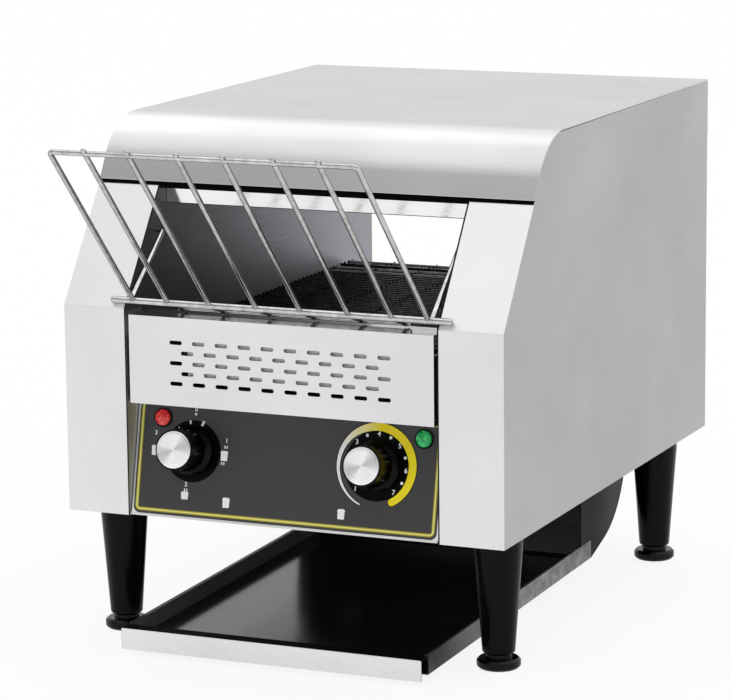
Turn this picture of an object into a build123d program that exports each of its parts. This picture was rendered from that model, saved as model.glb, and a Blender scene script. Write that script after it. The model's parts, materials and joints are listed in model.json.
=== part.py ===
from build123d import *
import os
from math import atan2, cos, degrees, hypot, pi, radians, sin, sqrt, tan

# Countertop conveyor toaster: bread is fed through the front mouth on to a wire belt that runs
# between quartz heating tubes, drops behind the belt and slides down a chute into the front tray.
# Millimetres. +X is the user's right, the front faces -Y, +Z is up and Z = 0 is the worktop.
# Sub-parts are drawn with Y = 0 on the front pillars; save() moves them all so that the
# middle of the whole toaster's box stands over the origin.

# ---------------------------------------------------------------- driving dimensions
sheet = 1.0                   # casing sheet
fit_gap = 0.1                 # between a sheet and the wall that it is screwed to
turn_gap = 0.3                # between curved faces of pieces that move past each other
running = 0.05                # radial clearance of a shaft in its bore

# Body casing
body_width = 288.0
body_depth = 373.0
pillar_width = 41.0           # front pillar, which is also the depth of the side compartment
pillar_height = 128.5         # underside to shoulder
slope_depth = 51.0
slope_rise = 71.0
hood_rise = 36.0              # top of the slope to the top of the side panel
hood_front_angle = 60.0
hood_radius = 48.0
hood_rear_flange = 37.0
hood_return = 8.0             # flange turned in under the hood's lip

# Legs and feet
foot_radius = 13.4
foot_thickness = 6.5
foot_neck_radius = 8.0
foot_neck = 3.0
leg_height = 72.5
leg_top_radius = 14.8
leg_low_radius = 10.0
stud_radius = 4.0
stud_length = 24.0
leg_from_side = 18.5
front_leg_y = 37.0
rear_leg_from_back = 51.0

# Slotted front panel
vent_side_gap = 2.0
vent_height = 54.5
vent_below_shoulder = 3.5
vent_foot = 8.0
ledge_depth = 26.0
ledge_drop = 0.5
slot_columns = 10
slot_rows = 5
slot_length = 8.3
slot_width = 2.5
slot_pitch = 15.2
slot_row_pitch = 6.3
slot_top_margin = 15.4        # top edge of the panel to the middle of the first row
baffle_gap = 2.0
baffle_left = -62.0           # leaves the first column of slots open
baffle_right = 78.0
baffle_height = 33.0
baffle_below_top = 5.0
baffle_flange_drop = 7.0
tab_depth = 18.0
tab_height = 30.0

# Control panel, tilted back at the top
panel_tilt = 12.0
panel_foot_y = 1.0
panel_foot_rise = 1.5
panel_height = 72.0
panel_side_gap = 0.5
panel_lip = 2.2
panel_flange = 13.0
overlay_thickness = 0.4
overlay_inset = 1.3
overlay_height = 69.0
overlay_corner = 4.0
heat_knob_inset = 37.0        # from the panel's left end to the knob
speed_knob_inset = 42.6       # from its right end
knob_rise = 41.2              # up the panel from its foot
lamp_rise = 59.7
power_lamp_inset = 17.3
heat_lamp_inset = 13.0

# Knobs
skirt_radius = 15.5
skirt_height = 5.0
skirt_gap = 0.8
grip_radius = 13.0
grip_top_radius = 12.4
knob_height = 23.0
cap_radius = 11.7
cap_thickness = 1.0
flute_count = 16
flute_radius = 1.1
spindle_radius = 3.0
spindle_inside = 9.0
bush_radius = 4.5
switch_width = 30.0
switch_depth = 34.0
control_width = 26.0
control_depth = 16.0

# Indicator lamps
lamp_barrel_radius = 4.2
lamp_bezel_radius = 6.0
lamp_bezel = 1.0
lamp_lens_radius = 5.0
lamp_lens_height = 2.6
lamp_length = 20.0

# Conveyor
belt_wire = 2.2
belt_pitch = 12.5
belt_side_gap = 7.0
belt_lanes = 6
belt_slant = 2.4              # sideways step of each link between two rods
wrap_gap = 7.0                # angle left free between a bent link and the flat run
bent_link = 1.8               # thickness of a bent link, under the rods' diameter
sprocket_teeth = 8
idler_y = 43.0
belt_rear_room = 50.0         # least room between the drive shaft and the back
shaft_rise = 92.0             # shaft axes above the underside
shaft_radius = 4.0
sprocket_width = 5.0
sprocket_hub = 9.0
sprocket_hub_radius = 8.0
notch_gap = 0.4
bearing_radius = 7.0
bearing_flange_radius = 9.5
bearing_flange = 4.0
shaft_stub = 4.0              # shaft end beyond the bearing

# Drive motor, flat geared type
motor_radius = 25.0
motor_width = 22.0
motor_stand_off = 8.0
motor_plate = 1.5
motor_post_radius = 3.0
motor_post_reach = 19.0
motor_grip = 8.0

# Heating
tube_radius = 5.0
tube_beyond = 11.0            # tube end beyond the side wall
tube_gap = 0.3
holder_radius = 8.0
holder_length = 14.0
upper_tube_count = 3
lower_tube_count = 3
upper_tube_margins = (48.0, 60.0)
lower_tube_margin = 30.0
upper_tube_above_belt = 86.0
lower_tube_below_shaft = 2.5
upper_box_front = 62.0
upper_box_from_back = 43.0
upper_box_wall = 17.0
lower_box_front = 82.0
lower_box_behind = 40.0      # before the drive shaft
lower_box_wall = 6.0
lower_box_drop = 9.0
guard_radius = 1.0
guard_count = 8
guard_pitch = 24.0
guard_from_rim = 2.2
insulation_depth = 12.0
insulation_rise = 123.0
insulation_height = 92.0
insulation_front = 64.0
insulation_from_back = 23.0
blanket_thickness = 14.0
blanket_inset = 12.0
crossbar_height = 11.0
crossbar_depth = 4.0
crossbar_rise = 0.5           # its lower edge above the heater box's rim

# Floor of the belt chamber, base and rear
deck_rise = 68.0
deck_front = 17.5
deck_before_shaft = 31.0
rear_panel_height = 70.0
base_slot_count = 6
base_slot_pitch = 14.0
base_slot_width = 4.0
base_slot_inset = 11.9        # from the plate's side edge
base_slot_apart = 60.0        # between the left and the right slots
louvre_count = 7
louvre_pitch = 12.0
louvre_length = 24.0
louvre_width = 3.0
gland_radius = 9.0
gland_nut_radius = 11.0
gland_length = 13.0
gland_bore = 4.0
gland_rise = 24.0
gland_from_wall = 20.0

# Toast chute and tray
chute_from_back = 35.0
chute_radius = 60.0
chute_angle = 17.0
chute_plate_lap = 19.0        # of each side plate over its runner
chute_plate_drop = 4.5        # of its edge below the bent sheet
flare_from_back = 3.0
tray_tilt = 1.0               # the tray falls towards the front
tray_front = -20.5
tray_before_chute = 69.0
tray_floor_gap = 0.2
tray_sheet = 0.8
tray_wall = 10.4
tray_side_gap = 0.5
runner_inset = 2.7            # inside the side walls' faces
runner_rise = 4.2             # at its front end
runner_height = 12.5
runner_ledge = 8.0
runner_seat = 0.1             # between the runner and the chute's side plate
handle_depth = 10.5
handle_height = 13.2
handle_sheet = 1.2
handle_drop = 1.2             # of its front face below the folded foot
tongue_overlap = 7.0
tongue_gap = 0.5
tongue_side_gap = 0.6

# Wire rack
rack_wire = 1.6               # radius
rack_rod = 2.1                # radius of the cross rod that lies on the pillars
rack_rod_beyond = 9.0         # over each pillar
rack_side_gap = 5.5
rack_length = 143.5
rack_angle = 46.0             # below the vertical-front plane: rise of the rack above level
rack_corner = 4.5
rack_wire_places = (14.5, 45.5, 73.5)
rack_wire_bump = 2.6
rack_seat = 4.5               # up the slope from the shoulder
shelf_reach = 20.5
shelf_drop = 6.5
shelf_tip = 4.0
shelf_beyond = 2.5
arm_inset = 3.6               # side arm's axis inside the side wall's face
hook_y = 45.5
hook_above_shoulder = 42.0
hook_beyond = 4.0

# Small electrical pieces
terminal_size = (52.0, 20.0, 18.0)
terminal_inset = 43.9         # from the base plate's left edge to its middle
terminal_y = 70.0
cutout_radius = 9.0
cutout_height = 7.0
cutout_place = (185.0, 158.0)   # back from the front and up from the underside
screw_radius = 3.5
screw_head = 1.8

# ---------------------------------------------------------------- derived places
half = body_width / 2
leg_x = half - leg_from_side
rear_leg_y = body_depth - rear_leg_from_back
wall_outer = half - pillar_width          # outer face of the inner side wall
wall_face = wall_outer - sheet            # its face in the toasting chamber
vent_half_width = wall_face - vent_side_gap
panel_half_width = wall_face - panel_side_gap
overlay_half_width = panel_half_width - overlay_inset
heat_knob_x = heat_knob_inset - panel_half_width
speed_knob_x = panel_half_width - speed_knob_inset
power_lamp_x = power_lamp_inset - panel_half_width
heat_lamp_x = panel_half_width - heat_lamp_inset
belt_half_width = wall_face - belt_side_gap
base_half_width = wall_face - fit_gap
runner_half_width = wall_face - runner_inset
tray_half_width = runner_half_width - sheet - tray_side_gap
rack_half_width = wall_face - rack_side_gap
rack_rod_half = wall_outer + rack_rod_beyond
gland_x = -wall_outer - gland_from_wall
body_bottom = foot_thickness + foot_neck + leg_height
shoulder_z = body_bottom + pillar_height
lip_z = shoulder_z + slope_rise
panel_top_z = lip_z + hood_rise
vent_top = shoulder_z - vent_below_shoulder
vent_bottom = vent_top - vent_height
shaft_z = body_bottom + shaft_rise
sprocket_radius = sprocket_teeth * belt_pitch / (2 * pi)
tooth_angle = 360 / sprocket_teeth
run_pitches = int((body_depth - belt_rear_room - idler_y) / belt_pitch)
drive_y = idler_y + run_pitches * belt_pitch
deck_rear = drive_y - deck_before_shaft
belt_top_z = shaft_z + sprocket_radius
belt_low_z = shaft_z - sprocket_radius
deck_z = body_bottom + deck_rise
upper_tube_z = belt_top_z + upper_tube_above_belt
upper_box_rim = upper_tube_z - tube_radius - 2 * guard_radius - guard_from_rim
upper_box_top = upper_box_rim + upper_box_wall
upper_box_rear = body_depth - upper_box_from_back
lower_box_rear = drive_y - lower_box_behind
insulation_rear = body_depth - insulation_from_back
lower_tube_z = shaft_z - lower_tube_below_shaft
lower_box_base = lower_tube_z - lower_box_drop + sheet
tray_floor_z = runner_rise + sheet + tray_floor_gap
tray_floor_top = tray_floor_z + tray_sheet
runner_top = runner_rise + runner_height
chute_rear = body_depth - chute_from_back
flare_rear = body_depth - flare_from_back
tray_rear = chute_rear - tray_before_chute
rear_reach = body_depth + gland_length + sheet
slope_angle = atan2(slope_rise, slope_depth)
front_panel = Plane(
    origin=(0, panel_foot_y, body_bottom + panel_foot_rise),
    x_dir=(1, 0, 0),
    z_dir=(0, -cos(radians(panel_tilt)), sin(radians(panel_tilt))),
)
rod_y = rack_seat * cos(slope_angle) - (rack_rod + turn_gap) * sin(slope_angle)
rod_z = shoulder_z + rack_seat * sin(slope_angle) + (rack_rod + turn_gap) * cos(slope_angle)
hook_z = shoulder_z + hook_above_shoulder
tip_reach = (rack_length + rack_wire_bump) * cos(radians(rack_angle))
front_reach = tip_reach + rack_wire * sin(radians(rack_angle)) - rod_y
middle_y = (rear_reach - front_reach) / 2


# ---------------------------------------------------------------- helpers
def block(x, y, z):
    """Box between two limits along each axis."""
    centre = Pos((x[0] + x[1]) / 2, (y[0] + y[1]) / 2, (z[0] + z[1]) / 2)
    return centre * Box(x[1] - x[0], y[1] - y[0], z[1] - z[0])


def across(radius, x, y, z):
    """Round bar along X between two limits."""
    bar = Cylinder(radius, x[1] - x[0])
    return Pos((x[0] + x[1]) / 2, y, z) * Rot(0, 90, 0) * bar


def along(radius, x, y, z):
    """Round bar along Y between two limits."""
    bar = Cylinder(radius, y[1] - y[0])
    return Pos(x, (y[0] + y[1]) / 2, z) * Rot(90, 0, 0) * bar


def side_face(lines):
    """Face in the YZ plane from a closed outline drawn as (y, z)."""
    return Plane.YZ * make_face(lines)


def widen(face, x):
    """Solid from a YZ face, between two limits along X."""
    return Pos(x[0], 0, 0) * extrude(face, amount=x[1] - x[0], dir=(1, 0, 0))


def wire_bar(points, radius, bend):
    """Round wire along straight runs with one bend radius."""
    path = FilletPolyline(*points, radius=bend) if len(points) > 2 else Line(*points)
    start = Plane(origin=path @ 0, z_dir=path % 0)
    return sweep(start * Circle(radius), path=path)


def overlay_y(z):
    """Front of the tilted control panel's facing at a height."""
    angle = radians(panel_tilt)
    rise = z - body_bottom - panel_foot_rise
    return panel_foot_y + rise * tan(angle) - overlay_thickness / cos(angle)


def slope_z(y, z):
    """Height at y of a line that runs along the tilted tray, from its height at the tray's front."""
    return z + (y - tray_front) * tan(radians(tray_tilt))


def tilted(solid):
    """A piece of the tray, turned from level to the tray's fall about its front edge."""
    axis = Axis((0, tray_front, 0), (1, 0, 0))
    return solid.rotate(axis, tray_tilt)


def both_sides(solid):
    """A piece and its mirror image on the other side."""
    return [solid, mirror(solid, about=Plane.YZ)]


def save(name, solids):
    """Write one node, moved so that the toaster's box stands over the origin."""
    group = solids if isinstance(solids, list) else [solids]
    flat = [piece for item in group for piece in item.solids()]
    placed = [Pos(0, -middle_y, 0) * piece for piece in flat]
    shape = placed[0] if len(placed) == 1 else Compound(children=placed)
    export_step(shape, "parts/" + name + ".step")


# ---------------------------------------------------------------- casing
def side_outline(grow=0.0):
    """Outline of the casing seen from the side, grown or shrunk by an offset."""
    angle = radians(hood_front_angle)
    straight = (hood_rise - hood_radius * (1 - cos(angle))) / sin(angle)
    bend_y = slope_depth + straight * cos(angle)
    bend_z = lip_z + straight * sin(angle)
    centre = (bend_y + hood_radius * sin(angle), panel_top_z - hood_radius)
    lines = [
        Line((0, body_bottom), (0, shoulder_z)),
        Line((0, shoulder_z), (slope_depth, lip_z)),
        Line((slope_depth, lip_z), (bend_y, bend_z)),
        CenterArc(centre, hood_radius, 90 + hood_front_angle, -hood_front_angle),
        Line((centre[0], panel_top_z), (body_depth, panel_top_z)),
        Line((body_depth, panel_top_z), (body_depth, body_bottom)),
        Line((body_depth, body_bottom), (0, body_bottom)),
    ]
    face = make_face(lines)
    if grow:
        face = offset(face, amount=grow, kind=Kind.INTERSECTION)
    return Plane.YZ * face


def side_panel():
    """Right side panel: outer skin with its rim turned in all round, which makes the pillar."""
    outline = side_outline()
    rim = outline - side_outline(-sheet)
    panel = widen(outline, (half - sheet, half)) + widen(rim, (wall_outer, half))
    for row in range(louvre_count):
        z = body_bottom + pillar_height - row * louvre_pitch
        x = (half + wall_outer) / 2
        panel -= block(
            (x - louvre_length / 2, x + louvre_length / 2),
            (body_depth - 2 * sheet, body_depth + sheet),
            (z - louvre_width / 2, z + louvre_width / 2),
        )
    for y in (front_leg_y, rear_leg_y):
        panel -= Pos(leg_x, y, body_bottom) * Cylinder(stud_radius + turn_gap, 4 * sheet)
    return panel


def left_side_panel():
    """The other side panel, with the hole for the cord gland in its rear rim."""
    panel = mirror(side_panel(), about=Plane.YZ)
    hole_y = (body_depth - 2 * sheet, body_depth + sheet)
    return panel - along(gland_radius, gland_x, hole_y, body_bottom + gland_rise)


def spaced(first, last, count):
    """Evenly spaced places, both ends included."""
    return [first + i * (last - first) / (count - 1) for i in range(count)]


def tube_places():
    """Middle of every heating tube as (y, z)."""
    before, behind = upper_tube_margins
    upper = spaced(upper_box_front + before, upper_box_rear - behind, upper_tube_count)
    lower = spaced(lower_box_front + lower_tube_margin, lower_box_rear - lower_tube_margin, lower_tube_count)
    return [(y, upper_tube_z) for y in upper], [(y, lower_tube_z) for y in lower]


def inner_wall():
    """Right inner side wall of the toasting chamber, with bores for shafts, tubes and rack hook."""
    wall = widen(side_outline(), (wall_face, wall_outer))
    through = (wall_face - sheet, wall_outer + sheet)
    upper, lower = tube_places()
    for y, z in upper + lower:
        wall -= across(tube_radius + 2 * tube_gap, through, y, z)
    for y in (idler_y, drive_y):
        wall -= across(bearing_radius, through, y, shaft_z)
    wall -= across(rack_wire + running, through, hook_y, hook_z)
    return wall


def hood():
    """Curved cover over the top, with a lip in front and a flange down the back."""
    shell = side_outline(sheet) - side_outline()
    front = widen(shell, (-half, half)) & block((-half, half), (-half, body_depth / 2), (lip_z, 2 * lip_z))
    flange_z = panel_top_z + sheet - hood_rear_flange
    rear_limits = (body_depth / 2, 2 * body_depth)
    rear = widen(shell, (-half, half)) & block((-half, half), rear_limits, (flange_z, 2 * lip_z))
    reach = wall_face - fit_gap
    lip = block((-reach, reach), (slope_depth, slope_depth + hood_return), (lip_z, lip_z + sheet))
    return front + rear + lip


def vent_panel():
    """Slotted front panel with a sloping ledge at its top and joggled tabs at its ends."""
    run = hypot(ledge_depth, ledge_drop)
    drop = sheet * run / ledge_depth
    inner_top = vent_top - drop - sheet * ledge_drop / ledge_depth
    hem = overlay_y(vent_bottom) - turn_gap
    outline = Polyline(
        (0, vent_bottom),
        (0, vent_top),
        (ledge_depth, vent_top - ledge_drop),
        (ledge_depth, vent_top - ledge_drop - drop),
        (sheet, inner_top),
        (sheet, vent_bottom + sheet),
        (hem, vent_bottom + sheet),
        (hem, vent_bottom),
        close=True,
    )
    panel = widen(side_face(outline), (-vent_half_width, vent_half_width))
    tab_low = vent_bottom + (vent_height - tab_height) / 2
    tab = block((vent_half_width - sheet, vent_half_width), (sheet, tab_depth), (tab_low, tab_low + tab_height))
    foot_x = (vent_half_width, wall_face - fit_gap)
    tab += block(foot_x, (tab_depth - vent_foot, tab_depth), (tab_low, tab_low + tab_height))
    for piece in both_sides(tab):
        panel += piece
    return panel - slot_cutters()


def slot_cutters():
    """Staggered rows of round-ended ventilation slots."""
    face = Plane(origin=(0, 0, vent_top - slot_top_margin), x_dir=(1, 0, 0), z_dir=(0, -1, 0))
    cutters = []
    for row in range(slot_rows):
        count = slot_columns - row % 2
        for column in range(count):
            x = (column - (count - 1) / 2) * slot_pitch
            slot = face * Pos(x, -row * slot_row_pitch) * SlotOverall(slot_length, slot_width)
            cutters.append(extrude(slot, amount=2 * sheet, both=True))
    return cutters


def vent_baffle():
    """Bright plate behind the slots that keeps fingers out of the control space."""
    x = (baffle_left, baffle_right)
    top = vent_top - baffle_below_top
    front = sheet + baffle_gap
    plate = block(x, (front, front + sheet), (top - baffle_height, top))
    flange = top - baffle_flange_drop
    return plate + block(x, (sheet, front), (flange, flange + sheet))


def base_plate():
    """Slotted floor of the control space, between the side panels."""
    reach = base_half_width
    plate = block((-reach, reach), (panel_foot_y + panel_flange, deck_rear), (body_bottom, body_bottom + sheet))
    middle = (panel_foot_y + panel_flange + deck_rear) / 2
    length = reach - base_slot_inset - base_slot_apart / 2
    slot_x = (base_slot_apart + length) / 2
    for i in range(base_slot_count):
        y = middle + (i - (base_slot_count - 1) / 2) * base_slot_pitch
        for x in (-slot_x, slot_x):
            slot = Pos(x, y) * SlotOverall(length, base_slot_width)
            plate -= Pos(0, 0, body_bottom) * extrude(slot, amount=2 * sheet, both=True)
    return plate


def belt_deck():
    """Sheet under the belt that parts it from the control space, turned down at the back."""
    reach = wall_face - fit_gap
    top = block((-reach, reach), (deck_front, deck_rear), (deck_z - sheet, deck_z))
    back = block((-reach, reach), (deck_rear - sheet, deck_rear), (body_bottom + sheet, deck_z - sheet))
    return top + back


def rear_panel():
    """Lower rear plate between the side panels; the window above it stays open."""
    reach = wall_outer - fit_gap
    top = body_bottom + rear_panel_height
    plate = block((-reach, reach), (body_depth, body_depth + sheet), (body_bottom, top))
    return plate + block((-reach + sheet, reach - sheet), (body_depth - 2, body_depth), (top - sheet, top))


# ---------------------------------------------------------------- legs and feet
def leg(x, y):
    """Tapered moulded leg with a bore for the foot's stud."""
    low = foot_thickness + foot_neck
    outline = Polyline(
        (stud_radius + running, low),
        (leg_low_radius - 0.8, low),
        (leg_low_radius, low + 0.8),
        (leg_top_radius, body_bottom - 6),
        (leg_top_radius, body_bottom),
        (stud_radius + running, body_bottom),
        close=True,
    )
    return Pos(x, y, 0) * revolve(Plane.XZ * make_face(outline), axis=Axis.Z)


def foot(x, y):
    """Levelling foot: a pad with eased edges, a neck and a stud."""
    pad = Pos(0, 0, foot_thickness / 2) * Cylinder(foot_radius, foot_thickness)
    pad = chamfer(pad.edges().filter_by(GeomType.CIRCLE), foot_thickness * 0.25)
    neck_z = foot_thickness + (foot_neck - turn_gap) / 2
    neck = Pos(0, 0, neck_z) * Cylinder(foot_neck_radius, foot_neck - turn_gap)
    stud_low = foot_thickness + foot_neck - turn_gap
    stud = Pos(0, 0, stud_low + stud_length / 2) * Cylinder(stud_radius, stud_length)
    return Pos(x, y, 0) * (pad + neck + stud)


def leg_places():
    """Name and place of each leg."""
    return {
        "front_left": (-leg_x, front_leg_y),
        "front_right": (leg_x, front_leg_y),
        "rear_left": (-leg_x, rear_leg_y),
        "rear_right": (leg_x, rear_leg_y),
    }


# ---------------------------------------------------------------- control panel
def on_panel(x, rise, low, high, radius):
    """Round bar standing on the control panel, between two heights over its face."""
    return front_panel * Pos(x, rise, (low + high) / 2) * Cylinder(radius, high - low)


def knob_places():
    return ((heat_knob_x, knob_rise), (speed_knob_x, knob_rise))


def lamp_places():
    return ((power_lamp_x, lamp_rise), (heat_lamp_x, lamp_rise))


def control_panel():
    """Tilted steel plate that carries the knobs and lamps, with a bright lip along its foot."""
    plate = front_panel * Pos(0, panel_height / 2, -sheet / 2) * Box(2 * panel_half_width, panel_height, sheet)
    lip = Box(2 * panel_half_width, sheet, panel_lip)
    plate += front_panel * Pos(0, -sheet / 2, panel_lip / 2 - sheet) * lip
    reach = (panel_foot_y, panel_foot_y + panel_flange)
    low = body_bottom + panel_foot_rise - sheet
    plate += block((-panel_half_width, panel_half_width), reach, (low, low + sheet))
    for x, rise in knob_places():
        plate -= on_panel(x, rise, -2 * sheet, 2 * sheet, bush_radius + fit_gap)
    for x, rise in lamp_places():
        plate -= on_panel(x, rise, -2 * sheet, 2 * sheet, lamp_barrel_radius + fit_gap)
    return plate


def panel_overlay():
    """Thin dark facing on the control panel."""
    shape = RectangleRounded(2 * overlay_half_width, overlay_height, overlay_corner)
    film = front_panel * Pos(0, overlay_height / 2 + sheet / 2, 0) * extrude(shape, amount=overlay_thickness)
    for x, rise in knob_places():
        film -= on_panel(x, rise, -sheet, sheet, bush_radius + fit_gap)
    for x, rise in lamp_places():
        film -= on_panel(x, rise, -sheet, sheet, lamp_barrel_radius + fit_gap)
    return film


def knob(x):
    """Black skirted knob with a fluted grip and a bore for its spindle."""
    base = overlay_thickness + skirt_gap
    bore = spindle_radius + running
    outline = Polyline(
        (bore, base),
        (skirt_radius, base),
        (skirt_radius, skirt_height - 2),
        (skirt_radius - 1.6, skirt_height),
        (grip_radius + 1.5, skirt_height),
        (grip_radius, skirt_height + 1.5),
        (grip_top_radius, knob_height),
        (bore, knob_height),
        close=True,
    )
    body = revolve(Plane.XZ * make_face(outline), axis=Axis.Z)
    flute_low = skirt_height + 2
    for i in range(flute_count):
        flute = Pos(grip_radius + flute_radius * 0.4, 0, flute_low + knob_height / 2)
        body -= Rot(0, 0, i * 360 / flute_count) * flute * Cylinder(flute_radius, knob_height)
    return front_panel * Pos(x, knob_rise, 0) * body


def knob_cap(x):
    """Turned aluminium disc on the end of the grip."""
    disc = Pos(0, 0, knob_height + cap_thickness / 2) * Cylinder(cap_radius, cap_thickness)
    disc = chamfer(disc.edges().filter_by(GeomType.CIRCLE).sort_by(Axis.Z)[-1:], cap_thickness * 0.4)
    return front_panel * Pos(x, knob_rise, 0) * disc


def spindle(x):
    """Steel spindle from the control into the knob."""
    return on_panel(x, knob_rise, -spindle_inside, knob_height - 1, spindle_radius)


def control_body(x, width, depth):
    """Switch or speed control behind the panel, with a bush that carries the spindle."""
    body = front_panel * Pos(x, knob_rise, -sheet - depth / 2) * Box(width, width, depth)
    body += on_panel(x, knob_rise, -sheet, overlay_thickness, bush_radius)
    return body - on_panel(x, knob_rise, -spindle_inside - running, 1, spindle_radius + running)


def lamp(x):
    """Indicator lamp: barrel through the panel, round bezel and a low lens."""
    top = overlay_thickness + lamp_bezel
    body = on_panel(x, lamp_rise, overlay_thickness, top, lamp_bezel_radius)
    body += on_panel(x, lamp_rise, -lamp_length, overlay_thickness, lamp_barrel_radius)
    lens = Pos(0, 0, top + lamp_lens_height / 2) * Cylinder(lamp_lens_radius, lamp_lens_height)
    lens = chamfer(lens.edges().filter_by(GeomType.CIRCLE).sort_by(Axis.Z)[-1:], lamp_lens_height * 0.6)
    return body, front_panel * Pos(x, lamp_rise, 0) * lens


# ---------------------------------------------------------------- conveyor
def belt_run(z):
    """Flat run of the wire belt: cross rods joined by slanted links, one row to the next."""
    length = run_pitches * belt_pitch
    lane = 2 * belt_half_width / belt_lanes
    holes = []
    for row in range(run_pitches):
        low = row * belt_pitch + belt_wire / 2
        high = (row + 1) * belt_pitch - belt_wire / 2
        for j in range(belt_lanes):
            left = -belt_half_width + j * lane + belt_wire / 2
            right = left + lane - belt_wire
            slant_left = belt_slant if j > 0 else 0
            slant_right = belt_slant if j < belt_lanes - 1 else 0
            corners = (
                (left - slant_left, low),
                (right - slant_right, low),
                (right + slant_right, high),
                (left + slant_left, high),
            )
            holes.append(make_face(Polyline(*corners, close=True)))
    blank = Pos(0, length / 2) * Rectangle(2 * belt_half_width + belt_wire, length + belt_wire)
    mesh = extrude(blank - holes, amount=belt_wire / 2, both=True)
    return Pos(0, idler_y, z) * mesh


def belt_wrap(centre_y, front):
    """Part of the belt that lies round a shaft: cross rods joined by bent links."""
    side = 1 if front else -1
    count = sprocket_teeth // 2 - 1
    length = (-belt_half_width - belt_wire / 2, belt_half_width + belt_wire / 2)
    wrap = None
    for i in range(count):
        angle = radians(90 + side * (i + 1) * tooth_angle)
        y = centre_y + sprocket_radius * cos(angle)
        z = shaft_z + sprocket_radius * sin(angle)
        rod = across(belt_wire / 2, length, y, z)
        wrap = rod if wrap is None else wrap + rod
    outer = sprocket_radius + bent_link / 2
    ring = Circle(outer) - Circle(outer - bent_link)
    reach = 2 * outer
    first, last = radians(90 + side * wrap_gap), radians(270 - side * wrap_gap)
    wedge = Polyline(
        (0, 0),
        (reach * cos(first), reach * sin(first)),
        (-side * reach, 0),
        (reach * cos(last), reach * sin(last)),
        close=True,
    )
    sector = Pos(centre_y, shaft_z) * (ring & make_face(wedge))
    lane = 2 * belt_half_width / belt_lanes
    for j in range(belt_lanes + 1):
        x = -belt_half_width + j * lane
        wrap += widen(Plane.YZ * sector, (x - belt_wire / 2, x + belt_wire / 2))
    return wrap


def sprocket_places():
    """Middle of each sprocket along the shaft: the outer lanes and the two beside the middle."""
    lane = 2 * belt_half_width / belt_lanes
    inner, outer = lane / 2, belt_half_width - lane / 2
    return (-outer, -inner, inner, outer)


def sprockets(centre_y):
    """Notched wheels that carry and drive the belt's cross rods."""
    centre = Pos(centre_y, shaft_z)
    rim = centre * Circle(sprocket_radius + notch_gap) - centre * Circle(shaft_radius)
    for i in range(sprocket_teeth):
        angle = radians(90 + i * tooth_angle)
        place = Pos(sprocket_radius * cos(angle), sprocket_radius * sin(angle))
        rim -= centre * place * Circle(belt_wire / sqrt(2) + notch_gap)
    hub = centre * Circle(sprocket_hub_radius) - centre * Circle(shaft_radius)
    wheel = widen(Plane.YZ * rim, (-sprocket_width / 2, sprocket_width / 2))
    wheel += widen(Plane.YZ * hub, (-sprocket_hub / 2, sprocket_hub / 2))
    return [Pos(x, 0, 0) * wheel for x in sprocket_places()]


def bearings(centre_y):
    """Flanged bushes in the inner side walls."""
    flange_end = wall_outer + bearing_flange
    bush = across(bearing_radius, (wall_face, wall_outer), centre_y, shaft_z)
    bush += across(bearing_flange_radius, (wall_outer, flange_end), centre_y, shaft_z)
    bush -= across(shaft_radius + running, (wall_face - 1, flange_end + 1), centre_y, shaft_z)
    return both_sides(bush)


def idler_shaft():
    end = wall_outer + bearing_flange + shaft_stub
    return across(shaft_radius, (-end, end), idler_y, shaft_z)


def drive_shaft():
    """Shaft whose right end reaches into the geared motor."""
    end = wall_outer + bearing_flange + shaft_stub
    return across(shaft_radius, (-end, motor_face_x() + motor_grip), drive_y, shaft_z)


def motor_face_x():
    return wall_outer + motor_stand_off + motor_plate


def motor():
    """Flat geared motor with a hollow output that grips the shaft."""
    face = motor_face_x()
    body = across(motor_radius, (face, face + motor_width), drive_y, shaft_z)
    body = chamfer(body.edges().filter_by(GeomType.CIRCLE), 2)
    return body - across(shaft_radius + running, (face - 1, face + motor_grip + 1), drive_y, shaft_z)


def motor_bracket():
    """Mounting plate on four posts from the inner side wall."""
    face = motor_face_x()
    reach = motor_post_reach + 2 * motor_post_radius
    plate_y = (drive_y - reach, drive_y + reach)
    plate = block((face - motor_plate, face), plate_y, (shaft_z - reach, shaft_z + reach))
    plate -= across(bearing_flange_radius, (face - 2 * motor_plate, face + 1), drive_y, shaft_z)
    for y in (drive_y - motor_post_reach, drive_y + motor_post_reach):
        for z in (shaft_z - motor_post_reach, shaft_z + motor_post_reach):
            plate += across(motor_post_radius, (wall_outer, face - motor_plate), y, z)
    return plate


# ---------------------------------------------------------------- heating
def heating_tubes(places):
    end = wall_outer + tube_beyond
    return [across(tube_radius, (-end, end), y, z) for y, z in places]


def tube_holders(places):
    """Ceramic sockets on the outside of the inner side walls."""
    holders = []
    for y, z in places:
        socket = across(holder_radius, (wall_outer, wall_outer + holder_length), y, z)
        socket -= across(tube_radius + tube_gap, (wall_outer - 1, wall_outer + tube_beyond + tube_gap), y, z)
        holders += both_sides(socket)
    return holders


def upper_reflector():
    """Inverted tray over the upper tubes."""
    reach = wall_face - fit_gap
    x = (-reach, reach)
    box = block(x, (upper_box_front, upper_box_rear), (upper_box_top - sheet, upper_box_top))
    box += block(x, (upper_box_front, upper_box_front + sheet), (upper_box_rim, upper_box_top))
    return box + block(x, (upper_box_rear - sheet, upper_box_rear), (upper_box_rim, upper_box_top))


def lower_reflector():
    """Shallow tray under the lower tubes, inside the belt's loop."""
    reach = wall_face - fit_gap
    x = (-reach, reach)
    top = lower_box_base + lower_box_wall
    tray = block(x, (lower_box_front, lower_box_rear), (lower_box_base - sheet, lower_box_base))
    tray += block(x, (lower_box_front, lower_box_front + sheet), (lower_box_base, top))
    return tray + block(x, (lower_box_rear - sheet, lower_box_rear), (lower_box_base, top))


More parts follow.
